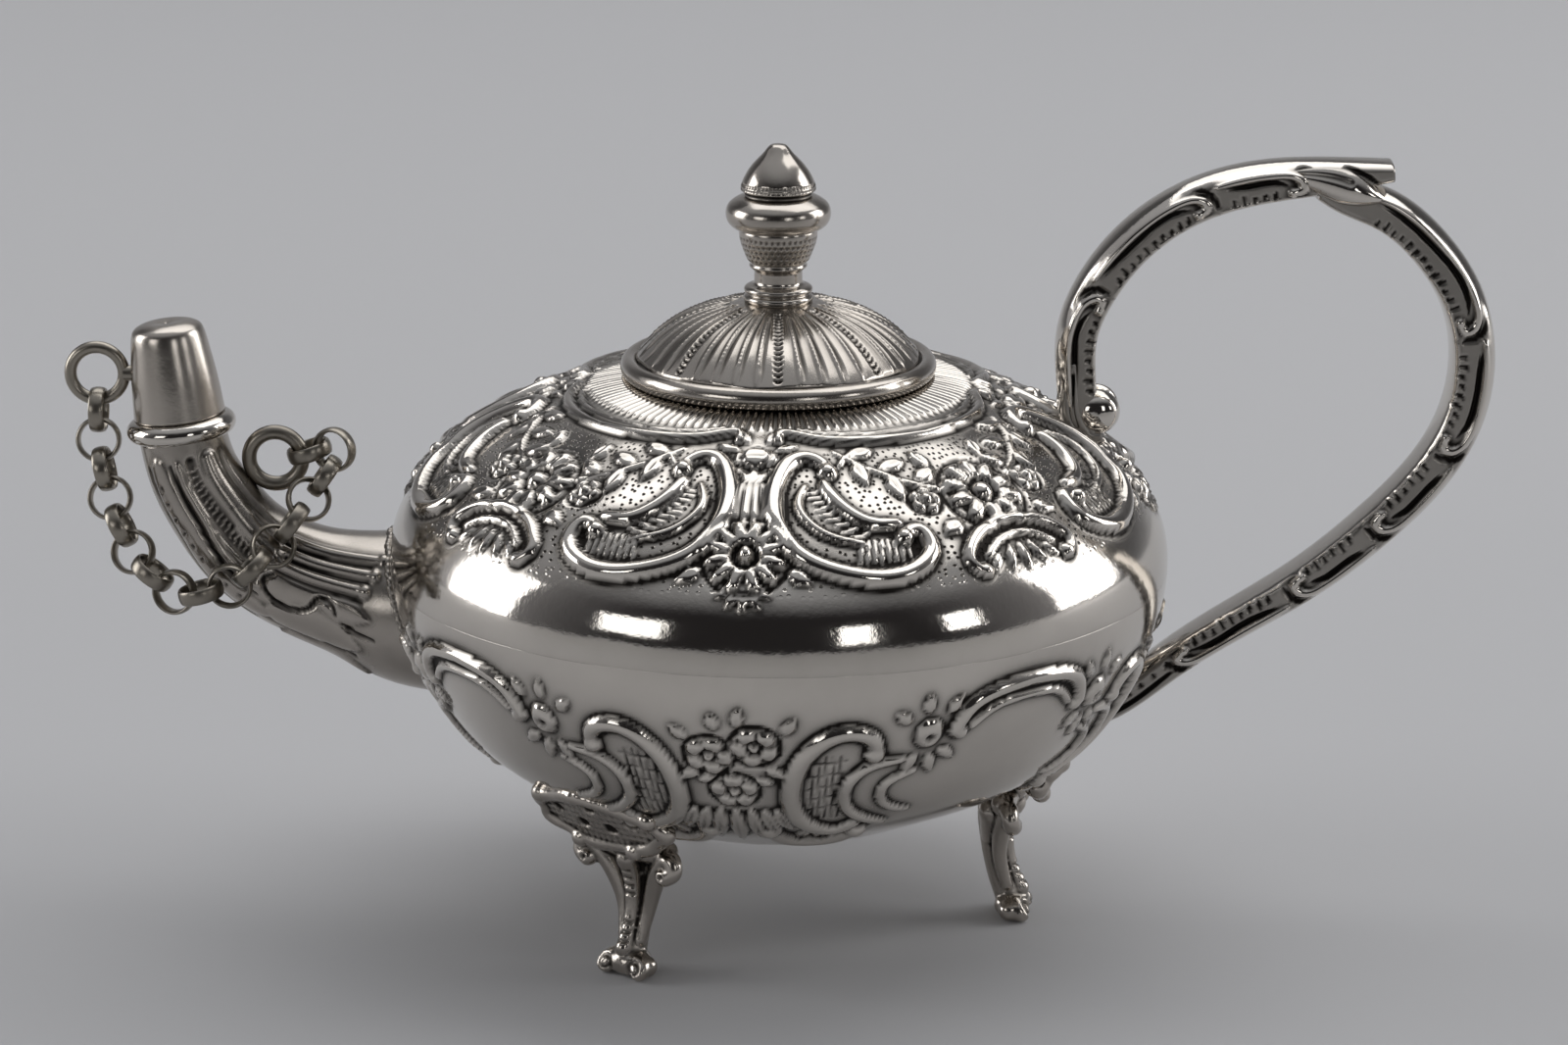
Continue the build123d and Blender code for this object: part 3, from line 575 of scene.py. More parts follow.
def silver(name, colour, dark, polish, cloud, stippled):
    """Silver that is bright where it is rubbed and dark in its hollows."""
    material, tree, shader = fresh_material(name)
    dull = 0.55
    clouds = noise(tree, 90.0, 5.0, 0.6)
    grain = noise(tree, 1400.0, 3.0, 0.7)
    hollow = add(tree, "ShaderNodeAttribute", attribute_name="tarnish").outputs["Fac"]
    haze = spread(tree, clouds, 0.45, 0.8, 0.0, cloud)
    amount = combine(tree, "ADD", hollow, haze, use_clamp=True)
    scratches = {"Height": grain, "Strength": 0.06, "Distance": 0.0002}
    normal = add(tree, "ShaderNodeBump", scratches).outputs["Normal"]
    if stippled:
        pits = stipple(tree)
        amount = combine(tree, "MAXIMUM", amount, pits)
        dents = {"Height": pits, "Normal": normal, "Strength": 0.8, "Distance": 0.00012}
        normal = add(tree, "ShaderNodeBump", dents, invert=True).outputs["Normal"]
    feed(tree, shader, {
        "Metallic": 1.0,
        "Base Color": blend(tree, amount, (*colour, 1.0), (*dark, 1.0)),
        "Roughness": spread(tree, amount, 0.0, 1.0, polish, dull),
        "Normal": normal,
    })
    return material


def cotton(name, colour):
    """Loose twisted cotton."""
    material, tree, shader = fresh_material(name)
    fibres = noise(tree, 2600.0, 4.0)
    shade = (*[0.62 * part for part in colour], 1.0)
    fluff = {"Height": fibres, "Strength": 0.5, "Distance": 0.0001}
    feed(tree, shader, {
        "Base Color": blend(tree, fibres, shade, (*colour, 1.0)),
        "Normal": add(tree, "ShaderNodeBump", fluff).outputs["Normal"],
        "Roughness": 0.9,
        "Sheen Weight": 0.4,
    })
    return material


def finish_of(name):
    """The material of one finish, made when it is first asked for."""
    made = bpy.data.materials.get(name)
    if made:
        return made
    finish = bpy.context.scene.lamp_finish
    if name == "wick cotton":
        return cotton(name, tuple(finish.cotton))
    colour, polish, cloud, stippled = FINISHES[name]
    bright = tuple(getattr(finish, colour))
    return silver(name, bright, tuple(finish.tarnish), getattr(finish, polish), cloud, stippled)


def bowl_outline():
    """The bowl's outline from its flat bottom to its mouth, measured from the girdle."""
    points = [(BOWL_FLAT_RADIUS, BOWL_BOTTOM)]
    for across, up in LOWER_SHAPE:
        wide = BOWL_FLAT_RADIUS + across * (BOWL_RADIUS - BOWL_FLAT_RADIUS)
        points.append((wide, BOWL_BOTTOM + up * (GIRDLE_HEIGHT - BOWL_BOTTOM)))
    points.append((BOWL_RADIUS, GIRDLE_HEIGHT))
    for across, up in UPPER_SHAPE:
        wide = MOUTH_RADIUS + across * (BOWL_RADIUS - MOUTH_RADIUS)
        points.append((wide, GIRDLE_HEIGHT + up * (MOUTH_HEIGHT - GIRDLE_HEIGHT)))
    points.append((MOUTH_RADIUS, MOUTH_HEIGHT))
    return Outline(points, zero_at=(BOWL_RADIUS, GIRDLE_HEIGHT))


def both_ways(draw):
    """Draw a motif and its mirror image about the middle of a panel."""
    for side in (1, -1):
        draw(side)


def flipped(points, side):
    """A curve of (across, run) turned over about the panel's middle for the left side."""
    return [(side * across, run) for across, run in points]


def upper_panel(work):
    """One panel of the shoulder: C-scrolls round a flower, sprays between them, and the moulding above."""
    work.flower(0, 11.0, 3.6, 12, 0.85, 0.8, turn=15)
    work.bead(0, 11.0, 0.62, 1.1, long=1.6)
    for flute in (-2.4, -0.8, 0.8, 2.4):
        work.ridge([(flute, 14.0), (1.05 * flute, 16.5), (0.8 * flute, 19.2)], 0.42, 0.5)
    for heading, length in ((90, 2.3), (55, 2.0), (125, 2.0)):
        work.leaf(0, 19.2, heading, length, 1.1, 0.5)
    work.oval(0, 22.9, 0, 2.0, 1.35, 0.75)
    work.groove([(3.6, 22.9), (0, 24.5), (-3.6, 22.9), (0, 21.3), (3.6, 22.9)], 0.22, 0.3)
    for heading in (-90, -60, -120, -32, -148):
        work.leaf(0, 8.4, heading, 2.9, 1.15, 0.5)

    def half(side):
        outer = [(16, 21.0), (13.4, 22.4), (9, 22.5), (5.6, 20.4), (4.1, 17), (5.2, 13.6), (9, 10.7),
                 (15, 9.0), (22, 8.4), (27, 9.3), (29.6, 11.2), (28.4, 12.9), (25.6, 12.5)]
        work.ridge(flipped(outer, side), 0.95, 1.0)
        work.bead(side * 15.4, 20.6, 0.95, 1.0)
        work.bead(side * 25.6, 12.2, 0.9, 1.0)
        hook = [(10.4, 19.0), (8.7, 16.6), (10.6, 14.2), (14.5, 12.6), (18.5, 12.0)]
        work.ridge(flipped(hook, side), 0.45, 0.6)
        inner = [(14.0, 19.2), (15.1, 17.4), (17.5, 15.4), (21, 14.0), (25.3, 13.9)]
        work.ridge(flipped(inner, side), 0.8, 0.85)
        for share in np.linspace(0.05, 0.95, 9):
            across = 10.6 + 7.0 * share ** 2
            run = 18.4 - 6.0 * share
            rib = [(across, run), (across + 2.4, run + 0.2), (across + 4.6, run + 1.2)]
            work.ridge(flipped(rib, side), 0.2, 0.3)
        for share in np.linspace(0.0, 1.0, 8):
            work.ridge(flipped([(17.5 + 8 * share, 9.9), (18.5 + 7.5 * share, 12.2)], side), 0.22, 0.32)
        work.leaf(side * 6.4, 9.4, 90 - 118 * side, 2.4, 1.4, 0.55)
        work.leaf(side * 4.2, 24.0, 90 - 75 * side, 2.3, 1.1, 0.5)
        work.leaf(side * 2.2, 25.0, 90 - 25 * side, 2.6, 1.2, 0.5)
        work.leaf(side * 3.0, 21.4, 90 - 140 * side, 1.8, 0.9, 0.45)
        rail = [(45.2, 24.4), (36, 24.5), (24, 24.9), (14, 25.6), (9, 26.4), (5.6, 26.5), (5.0, 25.5)]
        work.ridge(flipped(rail, side), 0.55, 0.75, taper=0.1)
        upper_rail = [(45.2, 25.7), (36, 25.75), (24, 26.1), (14, 26.8), (10.5, 27.2)]
        work.ridge(flipped(upper_rail, side), 0.28, 0.45, taper=0.1)
        stem = [(18, 23.6), (21.5, 22.0), (27, 19.9), (33, 18.0), (40, 16.6)]
        work.ridge(flipped(stem, side), 0.36, 0.4)
        work.ridge(flipped([(18.2, 21.4), (20.5, 22.6), (24.5, 23.4)], side), 0.3, 0.45)
        for across, run, heading, length in (
            (20.5, 22.7, 15, 2.9), (22.0, 21.8, -85, 2.9), (26.5, 20.6, 15, 2.9), (28.0, 19.5, -85, 2.8),
            (33.0, 18.6, 25, 2.6), (38.0, 20.0, 110, 2.4), (37.0, 13.2, 205, 2.3),
        ):
            work.leaf(side * across, run, 90 + side * (heading - 90), 1.12 * length, 1.7, 0.62)
        work.bead(side * 32.6, 16.2, 0.85, 0.7)
        work.flower(side * 32.6, 16.2, 1.5, 5, 0.5, 0.5)
        arch = [(36.8, 7.7), (35.0, 8.9), (36.6, 10.7), (40.5, 12.0), (45.2, 12.5)]
        work.ridge(flipped(arch, side), 0.62, 0.8, taper=0.05)
        work.ridge(flipped([(38.4, 9.2), (41.4, 10.5), (45.2, 11.0)], side), 0.35, 0.5, taper=0.05)
        work.bead(side * 36.9, 7.9, 0.8, 0.8)
        work.leaf(side * 43.2, 9.9, 90 + side * 160, 2.6, 1.0, 0.5)
        work.leaf(side * 40.8, 9.4, 90 + side * 140, 2.2, 0.9, 0.45)

    both_ways(half)
    work.leaf(45, 10.0, -90, 2.8, 1.1, 0.5)
    work.flower(45, 16.0, 3.9, 10, 0.75, 1.0, turn=9)


def lower_panel(work):
    """One panel of the belly: a spray of three flowers between net-filled scrolls, and rails beside it."""
    for across, run in ((-3.2, -8.5), (3.6, -7.3), (0.2, -13.0)):
        work.flower(across, run, 2.15, 5, 0.5, 0.48, turn=20 + 7 * across)
    for across, run, heading, length in (
        (-2.0, -5.4, 100, 2.0), (1.0, -5.0, 80, 2.2), (-6.2, -6.6, 130, 2.2), (7.6, -5.8, 60, 2.2),
        (-5.0, -10.2, 215, 2.2), (5.2, -9.8, -30, 2.2), (-2.6, -11.0, 200, 1.8), (3.6, -11.2, -20, 1.8),
    ):
        work.leaf(across, run, heading, length, 1.2, 0.55)
    fan = ((0, 8.5), (-2.4, 7.6), (2.4, 7.6), (-4.6, 6.2), (4.6, 6.2), (-6.6, 4.4), (6.6, 4.4))
    for across, length in fan:
        work.leaf(across, -15.4, -90 + 3.5 * across, length, 1.75, 0.75)

    def half(side):
        big = [(21.5, -8.6), (20.5, -6.6), (16.5, -5.7), (12.0, -7.4), (9.4, -11.0), (9.2, -15.0),
               (12.0, -18.2), (17.5, -19.6), (20.5, -18.4)]
        work.ridge(flipped(big, side), 0.95, 0.85)
        work.bead(side * 21.2, -8.4, 0.95, 0.85)
        middle = [(25.5, -9.4), (20.6, -10.0), (17.8, -12.2), (18.2, -15.4), (22.0, -17.6), (26.0, -18.8)]
        work.ridge(flipped(middle, side), 0.62, 0.65)
        inner = [(28.0, -11.0), (24.0, -12.4), (24.2, -15.0), (29.5, -16.8)]
        work.ridge(flipped(inner, side), 0.5, 0.55)
        for share in np.linspace(0.0, 1.0, 5):
            work.groove(flipped([(11.6, -9.6 - 6.4 * share), (17.2, -9.2 - 6.0 * share)], side), 0.17, 0.16)
            work.groove(flipped([(11.8 + 4.4 * share, -8.6), (12.8 + 4.4 * share, -17.4)], side), 0.17, 0.16)
        bottom_scroll = [(5.6, -20.0), (8.4, -22.6), (13.5, -23.6), (19.0, -22.4), (21.5, -20.6)]
        work.ridge(flipped(bottom_scroll, side), 1.0, 0.95)
        work.bead(side * 5.4, -19.8, 1.2, 0.95)
        work.bead(side * 21.6, -20.4, 1.1, 0.95)
        long_rail = [(33.2, -6.6), (35.0, -4.2), (39.5, -2.9), (45.2, -2.5)]
        work.ridge(flipped(long_rail, side), 0.75, 0.7, taper=0.05)
        work.ridge(flipped([(35.8, -6.4), (38.6, -4.9), (45.2, -4.2)], side), 0.4, 0.45, taper=0.05)
        work.bead(side * 34.0, -6.9, 0.8, 0.7)
        work.bead(side * 29.0, -6.6, 1.35, 0.75, long=1.25)
        work.punch(side * 29.0, -6.8, 0.55, 0.45)
        for across, run, heading, length in (
            (31.0, -8.4, -40, 2.6), (29.6, -9.0, -75, 2.8), (27.6, -8.8, -110, 2.6), (31.5, -4.6, 55, 2.2),
            (28.6, -4.4, 95, 2.2), (26.0, -5.2, 140, 2.0),
        ):
            work.leaf(side * across, run, 90 + side * (heading - 90), length, 1.2, 0.55)
        for across in (12.5, 16.5, 20.5):
            work.leaf(side * across, -20.0, 90 + side * (-178 - across), 4.6, 1.5, 0.4)

    both_ways(half)


def turned_tarnish(work, across, along):
    """Darkness in the hollows of a turned piece's work."""
    total = 0
    for share, reach, depth in TARNISH_STEPS:
        total = total + share * work.sample(work.hollows(reach, depth), across, along)
    return np.clip(total, 0, 1)


def open_ground(lift, along, band):
    """Where the plain ground lies open between the work, within a band along the outline."""
    low, high = band
    flat = np.clip(1 - np.abs(lift) / 0.12, 0, 1)
    within = np.clip((along - low) / 1.2, 0, 1) * np.clip((high - along) / 0.8, 0, 1)
    return flat * within


def turned_shell(name, outline, runs, work, body, wall=0.0, columns=ROUND_COLUMNS, panel=0.0,
                 ground=(1.0, 0.0), finish="chased silver", shake=HAND_SHAKE,
                 seat=None):
    """A turned piece with worked outside: a shell where it has a wall, and closed at both ends otherwise."""
    angles = np.linspace(0, 2 * np.pi, columns, endpoint=False)
    across, along = np.meshgrid(np.degrees(angles) - panel, runs)
    lift = work.sample(work.height(), across, along)
    radius, level, out_r, out_z = [values[:, None] for values in outline.at(runs)]
    plain = turned_rows(radius, level, angles)
    fade_length = 2.0
    fade = np.clip(np.minimum(runs - runs.min(), runs.max() - runs) / fade_length, 0, 1)[:, None]
    uneven = ripple(plain, 22.0) + 0.3 * ripple(plain, 9.0)
    lift_all = lift + shake * fade * uneven
    rows = [turned_rows(radius + out_r * lift_all, level + out_z * lift_all, angles)]
    tarnish = [turned_tarnish(work, across, along)]
    pitted = [open_ground(lift, along, ground)]
    all_runs = runs
    if wall:
        inner_runs = np.linspace(runs[-1], runs[0], INNER_ROWS)
        radius, level, out_r, out_z = [values[:, None] for values in outline.at(inner_runs)]
        rows.append(turned_rows(radius - wall * out_r, level - wall * out_z, angles))
        tarnish.append(np.full((INNER_ROWS, columns), INNER_TARNISH))
        pitted.append(np.zeros((INNER_ROWS, columns)))
        all_runs = np.concatenate([runs, inner_runs])
    faces = grid_faces(len(all_runs), columns, closed=bool(wall))
    sheet = grid_sheet(angles * SHEET_RADIUS, all_runs)
    if not wall:
        sheet = sheet[:4 * len(faces)]
        faces += end_faces(len(all_runs), columns)
    layers = {"tarnish": np.concatenate(tarnish), "ground": np.concatenate(pitted)}
    points = np.concatenate(rows).reshape(-1, 3)
    if seat:
        points = placed(points, *seat)
    put(name, points, faces, body, finish_of(finish), (name,), layers, sheet)


def seam_rows(runs):
    """Rows with a close pair at each end, so that the shading runs straight on over a seam."""
    close = 0.02
    return np.concatenate([[runs[0], runs[0] + close], runs[1:-1], [runs[-1] - close, runs[-1]]])


def paint(names, finish):
    """Give plain pieces of the frame one finish."""
    for name in names:
        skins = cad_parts[name].data.materials
        skins.clear()
        skins.append(finish_of(finish))


def degree_of(outline):
    """How many millimetres one degree spans round a turned outline."""
    return lambda run: math.radians(1.0) * max(0.3, float(outline.at(run)[0]))


def lid_work(work, flutes, ends):
    """Roped ribs between hollow flutes, ladders of crescents, and a wavy crease above the rim."""
    start, end = ends
    ladder_every = 5
    rung_gap = 0.62
    half_rung = 0.42
    bead_gap = 0.5
    for flute in range(flutes):
        angle = flute * 360 / flutes
        if flute % ladder_every == 0:
            for run in np.arange(start + 0.4, end - 0.4, rung_gap):
                reach = half_rung / work.unit_at(run)
                crescent = [(angle - reach, run + 0.14), (angle, run - 0.14), (angle + reach, run + 0.14)]
                work.groove(crescent, 0.17, 0.26, taper=0.6)
            continue
        stop = end - 1.2 * (flute % 2)
        beside = half_rung / work.unit_at(0.4 * (start + end))
        work.ridge([(angle, start), (angle, 0.5 * (start + stop)), (angle, stop)], 0.27, 0.12, taper=0.5)
        work.groove([(angle + beside, start + 0.2), (angle + 0.9 * beside, stop - 0.8)], 0.2, 0.1, taper=0.7)
        for run in np.arange(start + 2.0, stop, bead_gap):
            work.bead(angle, run, 0.2, 0.22)
    around = np.arange(0, 361, 7.5)
    work.groove([(a, 0.95 + 0.16 * math.sin(math.radians(9 * a))) for a in around], 0.2, 0.25, taper=0.0)
    work.ridge([(a, 0.5 + 0.1 * math.sin(math.radians(11 * a))) for a in around], 0.3, 0.2, taper=0.0)


def spout_work(work, length):
    """Rails with a ladder groove between them, ending in lobes and a scroll-edged panel at the body."""

    top = length - 2.0
    straight_end = length - 9

    def side(front):
        def turned(across):
            return across if front else 180 - across

        def at(points):
            return [(turned(across), run) for across, run in points]

        def rail(across, *bend):
            return at([(across, top), (across, straight_end), *bend])

        work.ridge(rail(36, (36, 25), (33, 20.5), (30, 18.0)), 1.05, 0.5)
        work.groove(rail(12, (12, 25), (8, 19.0)), 0.75, 0.5)
        work.ridge(rail(-6, (-7, 24), (-12, 18.0)), 0.36, 0.35)
        work.ridge(rail(-34, (-35, 24), (-40, 17.0)), 1.25, 0.4)
        work.groove(rail(-16, (-17, 24), (-23, 18.0)), 0.26, 0.26)
        work.groove(rail(-55, (-57, 24), (-61, 17.0)), 0.24, 0.2)
        work.groove(rail(57, (57, 25), (56, 20.0)), 0.4, 0.22)
        for run in np.arange(20.5, top - 0.6, 0.66):
            work.ridge(at([(5, run), (19, run + 0.3)]), 0.13, 0.22, taper=0.8)
        for run in np.arange(19.0, top - 0.5, 1.35):
            work.punch(turned(-36), run, 0.2, 0.24)
        for across, finish in ((52, 7.8), (37, 8.2), (22, 8.8)):
            work.ridge(at([(across, 18.0), (across - 1, 14), (across - 2, finish)]), 0.5, 0.38)
            work.bead(turned(across - 2), finish, 0.65, 0.45)
        for across in (44, 29, 13):
            work.groove(at([(across, 18.4), (across - 1, 14), (across - 2, 8.6)]), 0.22, 0.28)
        panel = [(8, 17.6), (0, 18.2), (-14, 17.4), (-18, 14.8), (-8, 13.2), (2, 12.8), (1, 11.4), (-8, 10.8)]
        work.groove(at(panel), 0.3, 0.36)
        for across, run, long, wide in ((-32, 17.0, 9.5, 4.6), (-2, 12.4, 5.0, 2.6), (-62, 15.0, 8.6, 3.6)):
            work.leaf(turned(across), run, -90, long, wide, 0.32, vein=0.0)
        work.groove(at([(-48, 16.8), (-48, 12), (-44, 8)]), 0.26, 0.34)
        work.groove(at([(-14, 10.0), (-18, 8.4), (-17, 6.8)]), 0.26, 0.34)

    for front in (True, False):
        side(front)


def swept_pipe(line, radii, work, bore):
    """Rows of rings along a bent line in the XZ plane, worked outside, then back along the bore."""
    columns = 144
    around = np.linspace(0, 360, columns, endpoint=False)
    turn = np.radians(around)
    run = run_along(line)
    across, along = np.meshgrid(around, run)
    inner_side = right_of(line)
    lift = work.sample(work.height(), across, along)

    def rings(radius, keep):
        reach = radius * np.sin(turn)
        x = line[keep, 0][:, None] + inner_side[keep, 0][:, None] * reach
        z = line[keep, 1][:, None] + inner_side[keep, 1][:, None] * reach
        return np.stack([x, -radius * np.cos(turn) + 0 * x, z], axis=-1)

    outer_rows = np.arange(len(line))
    inner_rows = outer_rows[::-4]
    outside = rings(radii[:, None] + lift, outer_rows)
    inside = rings(radii[inner_rows][:, None] - bore + 0 * turn, inner_rows)
    hollows = np.clip(0.45 * work.hollows(1.0, 0.35) + 0.9 * work.hollows(0.45, 0.2), 0, 1)
    outer_tarnish = np.clip(0.12 + work.sample(hollows, across, along), 0, 1)
    layers = {"tarnish": np.concatenate([outer_tarnish, np.full(inside.shape[:2], 0.5)])}
    rows = len(outer_rows) + len(inner_rows)
    return np.concatenate([outside, inside]).reshape(-1, 3), grid_faces(rows, columns, closed=True), layers


def node_run(line, place):
    """Length along a middle line up to a place counted in its points."""
    chords = run_along(np.array(line)[:, :2])
    return float(np.interp(place, np.arange(len(chords)), chords))


def side_scroll(work, start, end, half):
    """One section of a handle's side: a ridge that hooks inwards at its end, a channel and marks."""
    outer = SIDE_MIDDLE + half - 0.55
    inner = SIDE_MIDDLE - half + 0.62
    middle = 0.5 * (start + end)
    hook = [(outer, start + 0.4), (outer, middle), (outer - 0.1, end - 2.6), (outer - 0.8, end - 0.9),
            (inner + 0.5, end - 0.5), (inner + 0.15, end - 1.5)]
    work.ridge(hook, 0.55, 0.42)
    work.bead(inner + 0.15, end - 1.5, 0.5, 0.42)
    channel = [(outer - 0.7, start + 1.2), (outer - 1.0, 0.6 * start + 0.4 * end), (outer - 1.0, end - 3.4),
               (outer - 1.45, end - 2.0)]
    work.groove(channel, 0.3, 0.36, taper=0.7)
    work.groove([(outer + 0.2, end - 1.0), (outer - 0.5, end), (inner + 0.2, end + 0.5)], 0.28, 0.4)
    for mark, run in enumerate(np.arange(start + 1.4, end - 2.4, 1.0)):
        sway = 0.1 * math.sin(2.3 * mark)
        long = 0.3 + 0.12 * math.sin(1.7 * mark)
        work.groove([(inner - long + sway, run), (inner + long + sway, run + 0.15)], 0.19, 0.3, taper=0.3)
    work.ridge([(inner - 0.5, start), (inner - 0.5, middle), (inner - 0.5, end)], 0.25, 0.15, taper=0.1)


def arm_work(work):
    """Sides of the handle's arm: three scrolled sections, then a folded leaf at the tip."""
    for first, last in ((1.6, 4.0), (4.1, 6.2), (6.3, 7.75)):
        side_scroll(work, node_run(ARM_LINE, first), node_run(ARM_LINE, last), 1.75)
    fold = node_run(ARM_LINE, 7.75)
    tip = node_run(ARM_LINE, 9.0)
    fall = tip - fold
    work.groove([(5.5, fold - 0.6), (4.6, fold + 0.4), (3.4, fold + 1.8), (2.6, fold + 3.2)], 0.42, 0.5)
    work.groove([(5.2, fold + 0.4 * fall), (4.2, fold + 0.66 * fall), (3.2, tip - 1.5)], 0.25, 0.4)


def loop_work(work):
    """Sides of the handle's loop: hooked sections, plainer towards the bowl."""
    for first, last in ((1.6, 4.6), (4.7, 6.6), (6.7, 8.1), (8.2, 9.2)):
        side_scroll(work, node_run(LOOP_LINE, first), node_run(LOOP_LINE, last), 1.85)
    side_scroll(work, node_run(LOOP_LINE, 9.3), node_run(LOOP_LINE, 10.9), 1.55)
    tail = [node_run(LOOP_LINE, place) for place in (11.0, 11.7, 12.4)]
    work.groove([(4.3, tail[0]), (4.4, tail[1]), (4.2, tail[2])], 0.25, 0.3)
    for run in np.arange(tail[0], tail[2], 1.5):
        work.punch(3.5, run, 0.25, 0.3)


def from_girdle(line):
    """A handle's line as distance from the axis, height and size."""
    return [(BOWL_RADIUS + reach, GIRDLE_HEIGHT + rise, size) for reach, rise, size in line]


def handle_bar(line, draw, width=HANDLE_WIDTH):
    """A bar of rounded section along a bent middle line, with worked sides, closed at both ends."""
    row_gap = 0.24
    rounding = 0.6
    crown_height = 0.16
    length = node_run(line, len(line) - 1)
    course = smooth_line(from_girdle(line), int(length / row_gap))
    outward = -right_of(course[:, :2])
    run = run_along(course[:, :2])
    work = Relief(2 * SIDE_MIDDLE, 0.0, length + 0.2, lambda run: 1.0, step=0.08)
    draw(work)
    wide = np.linspace(1, -1, SIDE_COLUMNS, endpoint=False)
    flat = np.linspace(-1, 1, EDGE_COLUMNS, endpoint=False)
    across = np.concatenate([wide, -np.ones(EDGE_COLUMNS), -wide, np.ones(EDGE_COLUMNS)])
    depth = np.concatenate([-np.ones(SIDE_COLUMNS), flat, np.ones(SIDE_COLUMNS), -flat])
    thick = course[:, 2:]
    half = thick / 2
    half_width = width / 2
    w = across[None, :] * half
    y = depth[None, :] * half_width + 0 * half
    soft = np.minimum(rounding, 0.8 * half)
    core_w = np.clip(w, soft - half, half - soft)
    core_y = np.clip(y, soft - half_width, half_width - soft)
    away = np.hypot(w - core_w, y - core_y) + 1e-9
    w = core_w + (w - core_w) / away * soft
    y = core_y + (y - core_y) / away * soft
    on_side = (np.abs(y) > half_width - 0.28) * 1.0
    along_run = run[:, None] + 0 * w
    lift = work.sample(work.height(), SIDE_MIDDLE + w, along_run) * on_side
    off_middle = np.clip(np.abs(y) / half_width, 0, 1)
    crown = crown_height * (1 - off_middle ** 2) * (1 - on_side) * np.sign(across)[None, :]
    outside = np.clip(w / half, 0, 1)
    w = w + crown - 0.15 * thick * outside * off_middle ** 2.4
    y = y + np.sign(y) * lift
    points = np.stack([course[:, :1] + outward[:, :1] * w, y, course[:, 1:2] + outward[:, 1:] * w], axis=-1)
    ground = 0.5 * np.clip(1 - lift / 0.22, 0, 1)
    hollow = work.sample(work.hollows(0.4, 0.22), SIDE_MIDDLE + w, along_run)
    tarnish = np.clip(hollow + ground, 0, 1) * on_side
    rows, columns = w.shape
    faces = grid_faces(rows, columns) + end_faces(rows, columns)
    return points.reshape(-1, 3), faces, {"tarnish": tarnish}


def scroll_roll():
    """The rolled end of the arm: a barrel across the handle, parted by a groove."""
    rows = 60
    columns = 48
    half = HANDLE_WIDTH / 2 + 0.3
    profile = [(0.05, -half - 0.2), (0.9, -half - 0.05), (1.6, -0.88 * half), (2.0, -0.6 * half),
               (2.05, -0.25 * half), (1.65, 0.0), (2.05, 0.25 * half), (2.0, 0.6 * half),
               (1.6, 0.88 * half), (0.9, half + 0.05), (0.05, half + 0.2)]
    line = smooth_line(profile, rows)
    turn = np.linspace(0, 2 * np.pi, columns, endpoint=False)
    x = SCROLL_PLACE[0] + line[:, :1] * np.cos(turn)
    z = SCROLL_PLACE[1] - line[:, :1] * np.sin(turn)
    points = np.stack([x, line[:, 1:] + 0 * x, z], axis=-1)
    faces = grid_faces(rows, columns) + end_faces(rows, columns)
    dark = np.clip(1 - np.abs(line[:, 1:] / 0.35), 0, 1) + 0 * x
    return points.reshape(-1, 3), faces, {"tarnish": 0.9 * dark}


def curl_work(work):
    """Side of the curl under the rolled end: a groove along its middle."""
    work.groove([(SIDE_MIDDLE, 1.0), (SIDE_MIDDLE, 3.5), (SIDE_MIDDLE, 6.0)], 0.3, 0.3)


def handle_leaf():
    """A pointed leaf folded over the joint of the arm and the loop, swelling out on both sides."""
    rows = 48
    columns = 40
    course = smooth_line(from_girdle(LEAF_LINE), rows)
    up = -right_of(course[:, :2])
    share = np.linspace(0, 1, rows)[:, None]
    front = np.linspace(-1, 1, columns // 2, endpoint=False)
    across = np.concatenate([front, -front])[None, :]
    facing = np.concatenate([-np.ones(columns // 2), np.ones(columns // 2)])[None, :]
    half = np.clip(course[:, 2:], 0.05, None)
    swell = 1.25 * np.sin(np.pi * share ** 1.5) ** 0.7 * (1 - across ** 2) ** 0.8
    vein = 0.22 * np.exp(-((across - 0.35) / 0.16) ** 2) * (share < 0.6)
    w = across * half
    y = facing * (HANDLE_WIDTH / 2 - 0.35 + swell - vein)
    points = np.stack([course[:, :1] + up[:, :1] * w, y, course[:, 1:2] + up[:, 1:] * w], axis=-1)
    faces = grid_faces(rows, columns) + end_faces(rows, columns)
    dark = np.clip(np.abs(across) ** 6 + 2.5 * vein, 0, 1) + 0 * w
    return points.reshape(-1, 3), faces, {"tarnish": 0.9 * dark}


